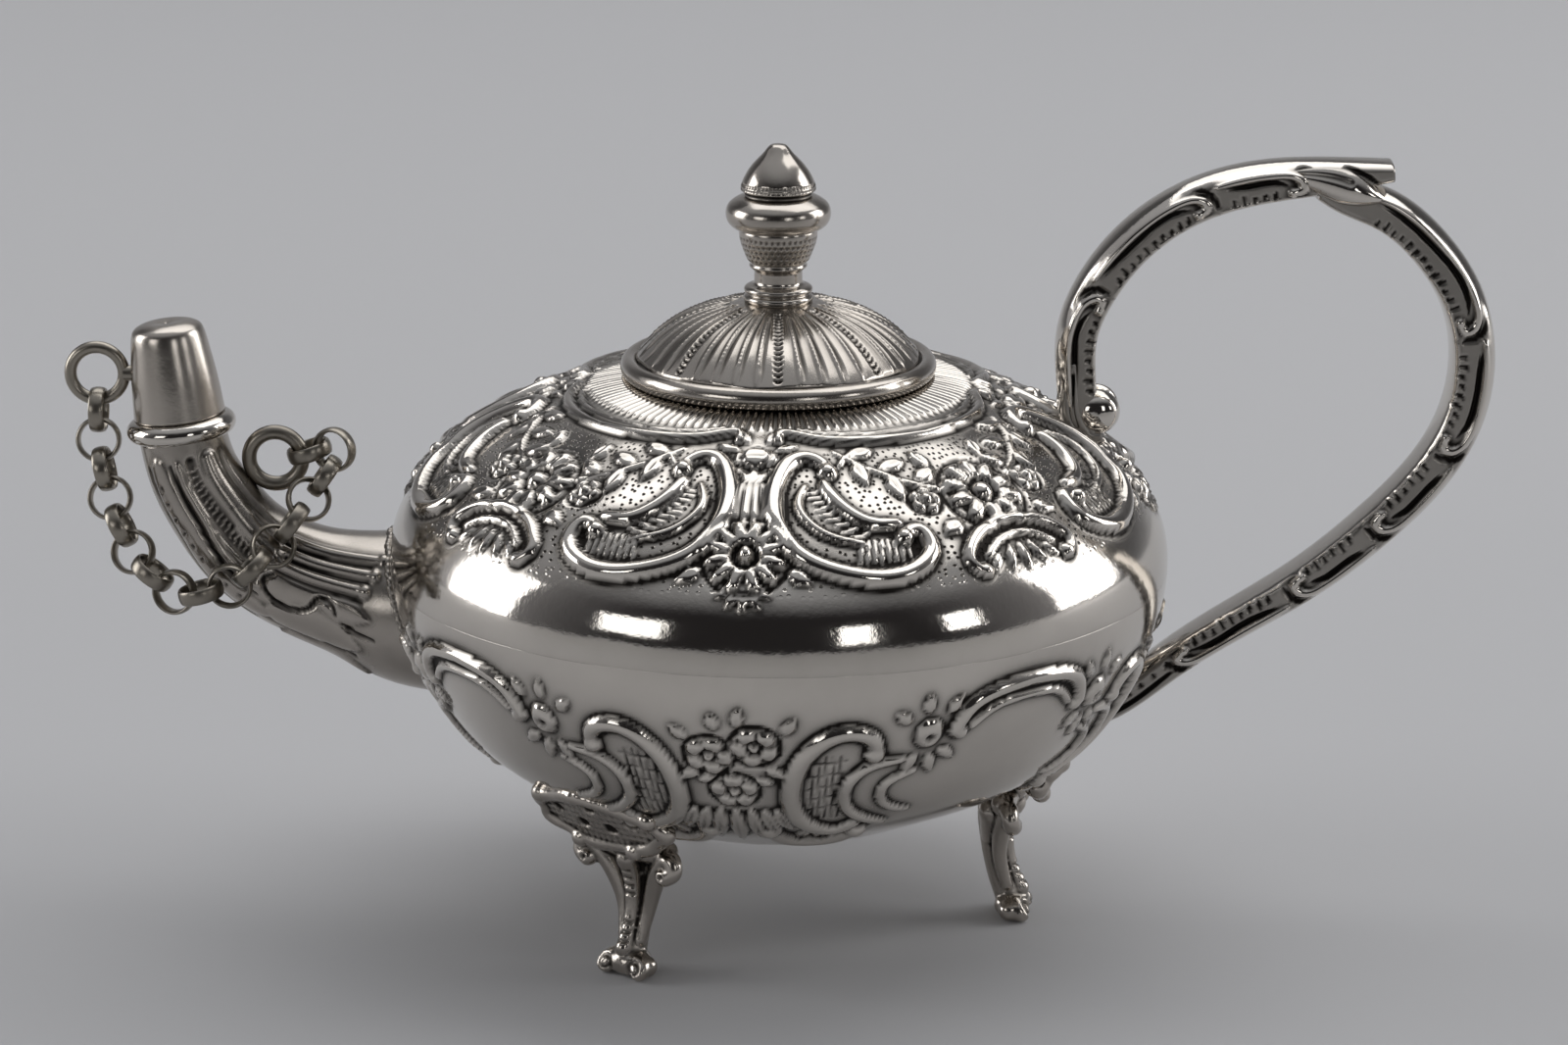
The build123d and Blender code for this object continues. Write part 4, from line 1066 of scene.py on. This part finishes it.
def cast(limbs, grain=0.15, calm=5):
    """Points, faces, normals and hollows of a cast piece in millimetres, run together from rows of balls."""
    mesh = bmesh.new()
    for x, y, z, radius in np.concatenate(limbs):
        ball = bmesh.ops.create_icosphere(mesh, subdivisions=2, radius=radius)
        bmesh.ops.translate(mesh, verts=ball["verts"], vec=(x, y, z))
    draft_mesh = bpy.data.meshes.new("draft")
    mesh.to_mesh(draft_mesh)
    mesh.free()
    draft = bpy.data.objects.new("draft", draft_mesh)
    bpy.context.scene.collection.objects.link(draft)
    even = draft.modifiers.new("even", "REMESH")
    even.mode = "VOXEL"
    even.voxel_size = grain
    soft = draft.modifiers.new("soft", "SMOOTH")
    soft.iterations = calm
    soft.factor = 0.5
    made = bpy.data.meshes.new_from_object(draft.evaluated_get(bpy.context.evaluated_depsgraph_get()))
    bpy.data.objects.remove(draft)
    points = np.zeros(3 * len(made.vertices), np.float32)
    normals = np.zeros(3 * len(made.vertices), np.float32)
    ends = np.zeros(2 * len(made.edges), np.int32)
    made.vertices.foreach_get("co", points)
    made.vertex_normals.foreach_get("vector", normals)
    made.edges.foreach_get("vertices", ends)
    faces = [list(face.vertices) for face in made.polygons]
    points = points.reshape(-1, 3).astype(float)
    normals = normals.reshape(-1, 3)
    return points, faces, normals, hollows_of(points, normals, ends.reshape(-1, 2))


def hollows_of(points, normals, edges):
    """How far each point of a mesh lies below what is round it, from 0 to 1."""
    rounds = 14
    full_depth = 0.06
    blurred = points
    neighbours = np.bincount(edges.ravel(), minlength=len(points))[:, None]
    for _ in range(rounds):
        total = np.zeros_like(points)
        np.add.at(total, edges[:, 0], blurred[edges[:, 1]])
        np.add.at(total, edges[:, 1], blurred[edges[:, 0]])
        blurred = 0.5 * blurred + 0.5 * total / neighbours
    return np.clip(((blurred - points) * normals).sum(axis=1) / full_depth, 0, 1)


def foot_limbs():
    """Leg, tongue, curled arms and toes of a foot, each as balls of (out, side, up, radius)."""
    leg = [(22.6, 0, 1.7, 1.5), (21.5, 0, 4.4, 1.3), (20.9, 0, 7.8, 1.4), (20.9, 0, 11.0, 1.7),
           (22.3, 0, 14.2, 2.6)]
    tongue = [(23.6, 0, 2.8, 0.8), (22.6, 0, 5.2, 0.66), (22.1, 0, 8.0, 0.8), (22.4, 0, 10.4, 1.0),
              (22.9, 0, 11.5, 1.1)]
    toes = [(22.6, -1.9, 1.1, 1.1), (23.2, 0, 1.35, 1.35), (22.6, 1.9, 1.1, 1.1)]
    shoulders = [(22.0, -3.9, 12.6, 1.2), (22.1, 0, 12.4, 1.4), (22.0, 3.9, 12.6, 1.2)]
    arm = [(22.3, 1.0, 3.4, 0.6), (21.6, 1.45, 6.4, 0.75), (21.8, 2.4, 9.2, 0.9), (22.3, 3.8, 11.5, 1.0),
           (22.7, 5.1, 12.2, 0.95), (22.9, 5.5, 11.3, 0.85), (23.0, 4.6, 10.7, 1.0)]
    toe = [(22.3, 0.8, 1.3, 1.3), (23.3, 1.7, 1.15, 1.15), (23.8, 2.0, 0.85, 0.85)]
    web = [(20.7, 0.6, 8.4, 1.1), (20.9, 2.4, 11.4, 1.4)]
    middle = ((leg, 26), (tongue, 34), (toes, 10), (shoulders, 18))
    limbs = [smooth_line(course, count) for course, count in middle]
    for side in (-1, 1):
        for course, count in ((arm, 48), (toe, 10), (web, 8)):
            mirrored = [(out, side * across, up, radius) for out, across, up, radius in course]
            limbs.append(smooth_line(mirrored, count))
    return limbs


def crest_limbs():
    """A shell between the bowl and a foot: a lobed frame, the field in it, and the metal behind; its
    piercings are left to dents with painted shade.
    """
    reach, height = CREST_PLACE

    def on_shell(across, run, lift):
        out = reach + run * math.cos(CREST_TILT) + lift * math.sin(CREST_TILT) - across ** 2 / (2 * reach)
        return out, across, height + run * math.sin(CREST_TILT) - lift * math.cos(CREST_TILT)

    half_width = 7.0
    half_height = 3.1
    lobes = 7
    balls = []
    for turn in np.linspace(0, 2 * math.pi, 72, endpoint=False):
        lobe = 1 + 0.04 * math.cos(lobes * turn)
        place = on_shell(half_width * lobe * math.cos(turn), half_height * lobe * math.sin(turn), 0.5)
        balls.append((*place, 0.85 + 0.1 * math.cos(lobes * turn)))
    for across in np.linspace(-5.6, 5.6, 17):
        for run in np.linspace(-2.0, 2.0, 6):
            balls.append((*on_shell(across, run, 0.0), 0.9))
            balls.append((*on_shell(0.9 * across, run + 0.4, -2.0), 1.6))
    for side in (-1, 1):
        balls.append((*on_shell(side * 6.3, 1.9, 0.6), 1.05))
        balls.append((*on_shell(side * 3.2, -3.0, 0.8), 1.0))
    return [np.array(balls)]


def foot_marks(v, z):
    """Depth of the chased lines on a foot's face, and of the dents that stand for the crest's holes, over its
    width and height.
    """
    depth = np.zeros_like(v)
    for level in (3.6, 4.4, 5.2, 7.9, 8.7, 9.5, 10.3):
        depth = np.maximum(depth, (np.abs(v) < 0.62) * dome(z - level, 0.17, 0.2))
    for side in (-1, 1):
        depth = np.maximum(depth, dome(np.hypot(v - side * 4.6, z - 10.8), 0.36, 0.3))
        depth = np.maximum(depth, dome(np.hypot(v - side * 1.7, z - 1.3) - 0.62, 0.2, 0.24))
    # Holes of the crest: dents deep enough that the tarnish below fills them fully dark, as painted shade
    # where the shell is pierced
    for across, level in CREST_HOLES:
        depth = np.maximum(depth, dome(np.hypot(v - across, 1.3 * (z - level)), 0.75, 0.55))
    return depth


def joint_border(line, radii, outline):
    """A beaded border where the spout's outside meets the bowl."""
    inner_side = right_of(line)
    beads = 132
    balls = []
    for number, turn in enumerate(np.linspace(0, 2 * math.pi, beads, endpoint=False)):
        x = line[:, 0] + inner_side[:, 0] * radii * math.sin(turn)
        z = line[:, 1] + inner_side[:, 1] * radii * math.sin(turn)
        y = -radii * math.cos(turn)
        outside = np.hypot(x, y) > np.interp(z, outline.line[:, 1], outline.line[:, 0])
        first = int(np.argmax(outside))
        balls.append((x[first], y[first], z[first], 0.34 + 0.08 * math.cos(math.pi * number)))
    return np.array(balls)


def wick_strand(course, phase):
    """One of three cotton strands twisted about the wick's course."""
    columns = 10
    lay = 5.5
    along = headings(course)
    side = np.array([0.0, 1.0, 0.0])
    up = np.cross(side[None, :] + 0 * along, along)
    twist = 2 * np.pi * run_along(course) / lay + phase
    centre = course + 0.6 * (np.cos(twist)[:, None] * up + np.sin(twist)[:, None] * side)
    turn = np.linspace(0, 2 * np.pi, columns, endpoint=False)
    ring = 0.62 * (np.cos(turn)[None, :, None] * up[:, None, :] - np.sin(turn)[None, :, None] * side)
    faces = grid_faces(len(course), columns) + end_faces(len(course), columns)
    return (centre[:, None, :] + ring).reshape(-1, 3), faces


class LampOrnament(bpy.types.PropertyGroup):
    """Counts of the chased work."""

    rib_count: bpy.props.IntProperty(
        name="Shoulder ribs", description="Fine ribs round the shoulder under the lid", default=128, min=24)
    flute_count: bpy.props.IntProperty(
        name="Lid flutes", description="Hollow flutes round the dome of the lid", default=40, min=8)


class LampFinish(bpy.types.PropertyGroup):
    """Colours and polish of the metal and the cotton."""

    silver: bpy.props.FloatVectorProperty(
        name="Silver", description="Colour of rubbed silver", subtype="COLOR", size=3,
        default=(0.66, 0.62, 0.57))
    worn: bpy.props.FloatVectorProperty(
        name="Worn silver", description="Colour of handled silver", subtype="COLOR", size=3,
        default=(0.50, 0.46, 0.415))
    tarnish: bpy.props.FloatVectorProperty(
        name="Tarnish", description="Colour of the hollows", subtype="COLOR", size=3,
        default=(0.022, 0.019, 0.017))
    chain: bpy.props.FloatVectorProperty(
        name="Chain", description="Colour of the dull chain", subtype="COLOR", size=3,
        default=(0.34, 0.31, 0.265))
    cotton: bpy.props.FloatVectorProperty(
        name="Cotton", description="Colour of the wick", subtype="COLOR", size=3,
        default=(0.80, 0.75, 0.64))
    polish: bpy.props.FloatProperty(
        name="Polish", description="Roughness of rubbed silver", subtype="FACTOR",
        default=0.075, min=0.0, max=1.0)
    satin: bpy.props.FloatProperty(
        name="Satin", description="Roughness of the snuffer", subtype="FACTOR",
        default=0.24, min=0.0, max=1.0)
    worn_polish: bpy.props.FloatProperty(
        name="Worn polish", description="Roughness of handled silver", subtype="FACTOR",
        default=0.17, min=0.0, max=1.0)
    chain_polish: bpy.props.FloatProperty(
        name="Chain polish", description="Roughness of the chain", subtype="FACTOR",
        default=0.28, min=0.0, max=1.0)


class LampStage(bpy.types.PropertyGroup):
    """The camera, and the colours of the floor, the one before the lamp darker as painted shade."""

    camera_place: bpy.props.FloatVectorProperty(
        name="Camera", description="Where the camera stands", subtype="TRANSLATION", unit="LENGTH", size=3,
        default=(0.00053, -0.3732, 0.1449))
    camera_pitch: bpy.props.FloatProperty(
        name="Pitch", description="How far the camera looks down", subtype="ANGLE", unit="ROTATION",
        default=math.radians(15.92))
    lens: bpy.props.FloatProperty(
        name="Lens", description="Focal length on a sensor 36 mm wide, in millimetres",
        default=94.05, min=1.0)
    floor: bpy.props.FloatVectorProperty(
        name="Floor", description="Colour of the paper sweep", subtype="COLOR", size=3,
        default=(0.505, 0.505, 0.515))
    # Floor in front: colour of the sweep before the lamp, darker than the floor as painted shade of the light
    # falling off towards the camera
    floor_front_shade: bpy.props.FloatVectorProperty(
        name="Floor in front", description="Colour of the sweep before the lamp", subtype="COLOR", size=3,
        default=(0.40, 0.40, 0.40))


class LAMP_OT_bowl(bpy.types.Operator):
    """Raise and chase both halves of the bowl, with the collar in its mouth"""

    bl_idname = "lamp.bowl"
    bl_label = "Bowl"

    def execute(self, context):
        outline = bowl_outline()
        top = outline.run[-1]
        bottom = outline.run[0]

        upper = Relief(360 / PANELS, 0.0, top, degree_of(outline))
        upper_panel(upper)
        runs = np.linspace(0.0, top, upper.rows)[:, None]
        ribs = context.scene.lamp_ornament.rib_count / PANELS
        wave = 0.5 + 0.5 * np.cos(2 * np.pi * ribs * np.arange(upper.columns)[None, :] / upper.columns)
        band = np.clip((runs - RIB_START) / 0.5, 0, 1) * np.clip((top - 0.4 - runs) / 0.3, 0, 1)
        upper.raised = np.maximum(upper.raised, RIB_HEIGHT * band * wave)
        runs = seam_rows(np.linspace(0.0, top, 108))
        turned_shell("upper_bowl", outline, runs, upper, "lamp", BOWL_WALL, panel=UPPER_PANEL,
                     ground=STIPPLE_BAND)

        lower = Relief(360 / PANELS, bottom, 0.0, degree_of(outline))
        lower_panel(lower)
        plain_rows = np.linspace(bottom, WORK_BOTTOM, 16, endpoint=False)
        worked_rows = np.linspace(WORK_BOTTOM, GIRDLE_BAND, 84, endpoint=False)
        girdle_rows = np.linspace(GIRDLE_BAND, 0.0, 4)
        runs = seam_rows(np.concatenate([plain_rows, worked_rows, girdle_rows]))
        turned_shell("lower_bowl", outline, runs, lower, "lamp", BOWL_WALL, panel=LOWER_PANEL)
        paint(("filler_collar",), "plain silver")
        return {"FINISHED"}


class LAMP_OT_lid(bpy.types.Operator):
    """Flute the dome of the lid, and polish its rim and bezel"""

    bl_idname = "lamp.lid"
    bl_label = "Lid"

    def execute(self, context):
        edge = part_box("lid_dome")[0][2] / MM
        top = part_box("lid_dome")[1][2] / MM
        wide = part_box("lid_dome")[1][0] / MM
        outline = Outline([(across * wide, edge + up * (top - edge)) for across, up in LID_SHAPE])
        length = outline.run[-1]
        work = Relief(360, 0.0, length, degree_of(outline))
        flutes_end = outline.run_at_radius(FINIAL_RADIUS) - 0.6
        lid_work(work, context.scene.lamp_ornament.flute_count, (1.5, flutes_end))
        for angle, reach in VENTS:
            vent = outline.run_at_radius(reach)
            work.groove([(angle, vent - 0.8), (angle, vent + 0.8)], 0.42, 0.9, taper=0.1)
        runs = np.linspace(0, length, 78)
        turned_shell("lid_dome", outline, runs, work, "lid", LID_WALL, columns=640, finish="worn silver",
                     shake=LATHE_SHAKE)
        paint(("lid_rim",), "worn silver")
        paint(("lid_bezel",), "plain silver")
        return {"FINISHED"}


class LAMP_OT_finial(bpy.types.Operator):
    """Turn the baluster, the bead and the tip of the finial"""

    bl_idname = "lamp.finial"
    bl_label = "Finial"

    def execute(self, context):
        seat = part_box("finial_bead")[0][2] / MM - CUP_TOP
        bead_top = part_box("finial_bead")[1][2] / MM - seat
        tip_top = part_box("finial_tip")[1][2] / MM - seat
        bead = [(0.05, CUP_TOP), (3.4, CUP_TOP), (4.1, 7.15), (4.72, 7.75), (4.9, 8.5), (4.72, 9.25),
                (4.15, 9.8), (3.7, bead_top - 0.05), (0.05, bead_top)]
        tip = [(0.05, bead_top)]
        tip += [(radius, bead_top + up) for radius, up in ACORN]
        tip += [(0.7, tip_top - 0.12), (0.05, tip_top)]
        for name, profile in (("finial_baluster", BALUSTER), ("finial_bead", bead), ("finial_tip", tip)):
            outline = Outline([(radius, seat + level) for radius, level in profile])
            work = Relief(360, 0.0, outline.run[-1], degree_of(outline), step=0.06)
            if name == "finial_baluster":
                foot = outline.run_at_height(seat + 0.45)
                for angle in np.arange(0, 360, 9.0):
                    work.bead(angle, foot, 0.22, 0.16)
                cup = outline.run_at_height(seat + 4.2)
                self.strike(work, cup, cup + 2.6, 0.55)
            if name == "finial_tip":
                low = outline.run_at_height(seat + bead_top + 0.5)
                work.groove([(turn, low - 0.25) for turn in range(0, 361, 10)], 0.3, 0.2, taper=0.0)
                self.strike(work, low + 0.3, low + 0.8, 0.4)
            runs = np.linspace(0, outline.run[-1], 110)
            turned_shell(name, outline, runs, work, "lid", columns=160,
                         finish="worn silver", shake=LATHE_SHAKE)
        paint(("finial_washer", "finial_nut"), "plain silver")
        return {"FINISHED"}

    def strike(self, work, low, high, pitch):
        """Rows of small punch marks round the piece."""
        for row, run in enumerate(np.arange(low, high, pitch)):
            count = int(360 * work.unit_at(run) / pitch)
            for mark in range(count):
                work.punch(360 * (mark + 0.5 * (row % 2)) / count, run, 0.17, 0.12)


class LAMP_OT_spout(bpy.types.Operator):
    """Chase the spout, and polish its lip and its ring"""

    bl_idname = "lamp.spout"
    bl_label = "Spout"

    def execute(self, context):
        sections = [(-BOWL_RADIUS - reach, GIRDLE_HEIGHT + rise, diameter / 2)
                    for reach, rise, diameter in SPOUT_SECTIONS]
        course = smooth_line(sections, 170)
        line = course[:, :2]
        run = run_along(line)
        length = float(run[-1])
        radii = course[:, 2]
        work = Relief(360, 0.0, length, lambda at: math.radians(1.0) * float(np.interp(at, run, radii)))
        spout_work(work, length)
        points, faces, layers = swept_pipe(line, radii, work, SPOUT_WALL)
        put("spout", points, faces, "lamp", finish_of("worn silver"), ("spout",), layers)
        points, faces, _, dark = cast([joint_border(line, radii, bowl_outline())], grain=0.14, calm=2)
        put("spout_border", points, faces, "lamp", finish_of("worn silver"), ("spout",),
            {"tarnish": np.clip(0.3 + dark, 0, 1)})
        paint(("spout_lip",), "plain silver")
        paint(("spout_ring",), "chain silver")
        return {"FINISHED"}


class LAMP_OT_snuffer(bpy.types.Operator):
    """Turn the snuffer cap with its satin sheen, and dull its ring"""

    bl_idname = "lamp.snuffer"
    bl_label = "Snuffer"

    def execute(self, context):
        outline = Outline(CAP_SHAPE)
        plain = Relief(360, 0.0, outline.run[-1], degree_of(outline))
        runs = np.linspace(0, outline.run[-1], 60)
        turned_shell("snuffer_cap", outline, runs, plain, "snuffer", CAP_WALL, columns=160,
                     finish="satin silver", shake=LATHE_SHAKE,
                     seat=(MOUTH_CENTRE, MOUTH_AXIS))
        paint(("snuffer_ring",), "chain silver")
        return {"FINISHED"}


class LAMP_OT_chain(bpy.types.Operator):
    """Dull the links of the chain"""

    bl_idname = "lamp.chain"
    bl_label = "Chain"

    def execute(self, context):
        paint(LINKS, "chain silver")
        return {"FINISHED"}


class LAMP_OT_handle(bpy.types.Operator):
    """Work the arm with its curl, its leaf and its rolled end, and the loop of the handle"""

    bl_idname = "lamp.handle"
    bl_label = "Handle"

    def execute(self, context):
        skin = finish_of("chased silver")
        pieces = (
            ("handle_arm", "handle_arm", handle_bar(ARM_LINE, arm_work)),
            ("handle_curl", "handle_arm", handle_bar(CURL_LINE, curl_work, CURL_WIDTH)),
            ("handle_leaf", "handle_arm", handle_leaf()),
            ("handle_roll", "handle_arm", scroll_roll()),
            ("handle_loop", "handle_loop", handle_bar(LOOP_LINE, loop_work)),
        )
        for name, node, (points, faces, layers) in pieces:
            put(name, points, faces, "lamp", skin, (node,), layers)
        return {"FINISHED"}


class LAMP_OT_feet(bpy.types.Operator):
    """Cast the three feet with the shells above them, their piercings made as dents with painted shade"""

    bl_idname = "lamp.feet"
    bl_label = "Feet"

    def execute(self, context):
        points, faces, normals, dark = cast(foot_limbs() + crest_limbs())
        marks = foot_marks(points[:, 1], points[:, 2]) * np.clip((normals[:, 0] - 0.1) / 0.4, 0, 1)
        points = points - normals * marks[:, None]
        points[:, 2] = np.clip(points[:, 2], 0.0, None)
        # Tarnish: patina in the chased lines and hollows, and painted shade filling the crest's hole dents
        layers = {"tarnish": np.clip(dark + 3.0 * marks, 0, 1)}
        for number, name in enumerate(FEET):
            turn = math.radians(FOOT_ANGLE + 360 * number / len(FEET))
            out = np.array([math.cos(turn), math.sin(turn), 0.0])
            side = np.array([-math.sin(turn), math.cos(turn), 0.0])
            up = np.array([0.0, 0.0, 1.0])
            turned = points[:, :1] * out + points[:, 1:2] * side + points[:, 2:] * up
            put(name, turned, faces, "lamp", finish_of("worn silver"), (name,), layers)
        return {"FINISHED"}


class LAMP_OT_burner(bpy.types.Operator):
    """Twist the wick, and polish its tube and the disc that holds it"""

    bl_idname = "lamp.burner"
    bl_label = "Burner"

    def execute(self, context):
        route = [MOUTH_CENTRE + along * MOUTH_AXIS for along in WICK_AT_MOUTH]
        for place in WICK_SECTIONS:
            reach, rise, _ = SPOUT_SECTIONS[place]
            route.append(np.array([-BOWL_RADIUS - reach, 0.0, GIRDLE_HEIGHT + rise]))
        route += [np.array([x, 0.0, z]) for x, z in WICK_IN_BOWL]
        course = smooth_line(route, 160)
        for strand in range(WICK_STRANDS):
            points, faces = wick_strand(course, 2 * math.pi * strand / WICK_STRANDS)
            name = "wick_strand_" + str(strand + 1)
            put(name, points, faces, "lamp", finish_of("wick cotton"), ("wick",))
        paint(("burner_disc", "wick_tube"), "plain silver")
        return {"FINISHED"}


class LAMP_OT_stage(bpy.types.Operator):
    """Set the camera, the paper sweep and the lights"""

    bl_idname = "lamp.stage"
    bl_label = "Stage"

    def execute(self, context):
        stage = context.scene.lamp_stage
        context.scene.view_settings.view_transform = "Standard"
        camera = bpy.data.cameras.new("camera")
        camera.lens = stage.lens
        camera.sensor_width = 36.0
        camera.clip_start = 0.01
        eye = bpy.data.objects.new("camera", camera)
        eye.location = stage.camera_place
        eye.rotation_euler = Euler((math.radians(90) - stage.camera_pitch, 0, 0))
        context.scene.collection.objects.link(eye)
        context.scene.camera = eye
        self.sweep(context, stage)
        self.lights(context)
        self.surroundings(context)
        return {"FINISHED"}

    def sweep(self, context, stage):
        """A paper floor that curves up behind the lamp, painted darker towards the camera as painted shade.
        """
        bend = 0.5
        bend_start = 0.9
        wall_top = 2.2
        half_width = 2.4
        columns = 9
        line = [(-2.0, 0.0), (-0.6, 0.0), (0.0, 0.0), (0.6, 0.0)]
        for turn in np.linspace(0, math.pi / 2, 24):
            line.append((bend_start + bend * math.sin(turn), bend - bend * math.cos(turn)))
        line.append((bend_start + bend, wall_top))
        points = [(x, y, z) for y, z in line for x in np.linspace(-half_width, half_width, columns)]
        faces = []
        for row in range(len(line) - 1):
            for corner in range(row * columns, (row + 1) * columns - 1):
                faces.append((corner, corner + 1, corner + columns + 1, corner + columns))
        mesh = bpy.data.meshes.new("paper_sweep")
        mesh.from_pydata(points, [], faces)
        mesh.polygons.foreach_set("use_smooth", [True] * len(faces))
        material, tree, shader = fresh_material("pale paper")
        place = add(tree, "ShaderNodeTexCoord").outputs["Object"]
        parts = add(tree, "ShaderNodeSeparateXYZ", {"Vector": place})
        # Painted shade: the paper's colour darkens from the floor colour behind the lamp to the front colour
        # towards the camera
        depth = spread(tree, parts.outputs["Y"], -0.30, 0.05, interpolation="SMOOTHSTEP")
        feed(tree, shader, {
            "Base Color": blend(tree, depth, (*stage.floor_front_shade, 1.0), (*stage.floor, 1.0)),
            "Roughness": 0.8,
            "Specular IOR Level": 0.2,
        })
        mesh.materials.append(material)
        floor = bpy.data.objects.new("paper_sweep", mesh)
        context.scene.collection.objects.link(floor)

    def lights(self, context):
        """Soft boxes above, behind and to both sides, and small panes that shine in the polished girdle."""
        target = Vector((0, 0, 0.04))
        boxes = (
            ("top_box", (0.2, 0.5, 1.25), (1.7, 1.2), 9.6),
            ("back_box", (0.0, 1.6, 0.45), (2.4, 0.6), 9.2),
            ("left_box", (-1.2, 0.1, 0.36), (0.6, 0.7), 5.0),
            ("right_box", (1.15, 0.2, 0.42), (0.6, 0.8), 5.6),
            ("left_pane", (-0.82, -0.88, 0.34), (0.46, 0.34), 0.95),
            ("right_pane", (0.45, -1.11, 0.3), (0.2, 0.34), 0.5),
            ("far_right_pane", (0.98, -0.69, 0.34), (0.2, 0.3), 0.45),
        )
        for name, place, (wide, tall), power in boxes:
            light = bpy.data.lights.new(name, "AREA")
            light.shape = "RECTANGLE"
            light.size = wide
            light.size_y = tall
            light.energy = power
            lamp = bpy.data.objects.new(name, light)
            lamp.location = place
            lamp.rotation_euler = (target - Vector(place)).to_track_quat("-Z", "Y").to_euler()
            context.scene.collection.objects.link(lamp)

    def surroundings(self, context):
        """A room that is pale overhead and behind, with dark walls in front for the silver's contrast."""
        front_wall = (0.02, 0.019, 0.02, 1.0)
        back_wall = (0.42, 0.42, 0.44, 1.0)
        ceiling = (0.40, 0.41, 0.43, 1.0)
        world = bpy.data.worlds.new("room")
        context.scene.world = world
        world.use_nodes = True
        tree = world.node_tree
        tree.nodes.clear()
        place = add(tree, "ShaderNodeTexCoord").outputs["Generated"]
        parts = add(tree, "ShaderNodeSeparateXYZ", {"Vector": place})
        up = spread(tree, parts.outputs["Z"], 0.5, 0.95, interpolation="SMOOTHSTEP")
        back = spread(tree, parts.outputs["Y"], -0.8, 0.7, interpolation="SMOOTHSTEP")
        colour = blend(tree, up, blend(tree, back, front_wall, back_wall), ceiling)
        light = add(tree, "ShaderNodeBackground", {"Color": colour, "Strength": 1.0})
        add(tree, "ShaderNodeOutputWorld", {"Surface": light.outputs["Background"]})


class LAMP_PT_panel(bpy.types.Panel):
    """The lamp's pieces and settings"""

    bl_label = "Silver spirit lamp"
    bl_idname = "LAMP_PT_panel"
    bl_space_type = "VIEW_3D"
    bl_region_type = "UI"
    bl_category = "Lamp"

    def draw(self, context):
        for group in (context.scene.lamp_ornament, context.scene.lamp_finish, context.scene.lamp_stage):
            for key in group.__annotations__:
                self.layout.prop(group, key)
        for operator in OPERATORS:
            self.layout.operator(operator.bl_idname)


GROUPS = {"lamp_ornament": LampOrnament, "lamp_finish": LampFinish, "lamp_stage": LampStage}
OPERATORS = [
    LAMP_OT_bowl,
    LAMP_OT_lid,
    LAMP_OT_finial,
    LAMP_OT_spout,
    LAMP_OT_snuffer,
    LAMP_OT_chain,
    LAMP_OT_handle,
    LAMP_OT_feet,
    LAMP_OT_burner,
    LAMP_OT_stage,
]


def register():
    """Make the settings, the operators and the panel known."""
    for name, group in GROUPS.items():
        bpy.utils.register_class(group)
        setattr(bpy.types.Scene, name, bpy.props.PointerProperty(type=group))
    for operator in OPERATORS:
        bpy.utils.register_class(operator)
    bpy.utils.register_class(LAMP_PT_panel)


def unregister():
    """Take back all that register did."""
    bpy.utils.unregister_class(LAMP_PT_panel)
    for operator in reversed(OPERATORS):
        bpy.utils.unregister_class(operator)
    for name, group in GROUPS.items():
        delattr(bpy.types.Scene, name)
        bpy.utils.unregister_class(group)


def main():
    """Build the whole lamp on its stage."""
    register()
    for operator in OPERATORS:
        family, name = operator.bl_idname.split(".")
        getattr(getattr(bpy.ops, family), name)()


if __name__ == "__main__":
    main()
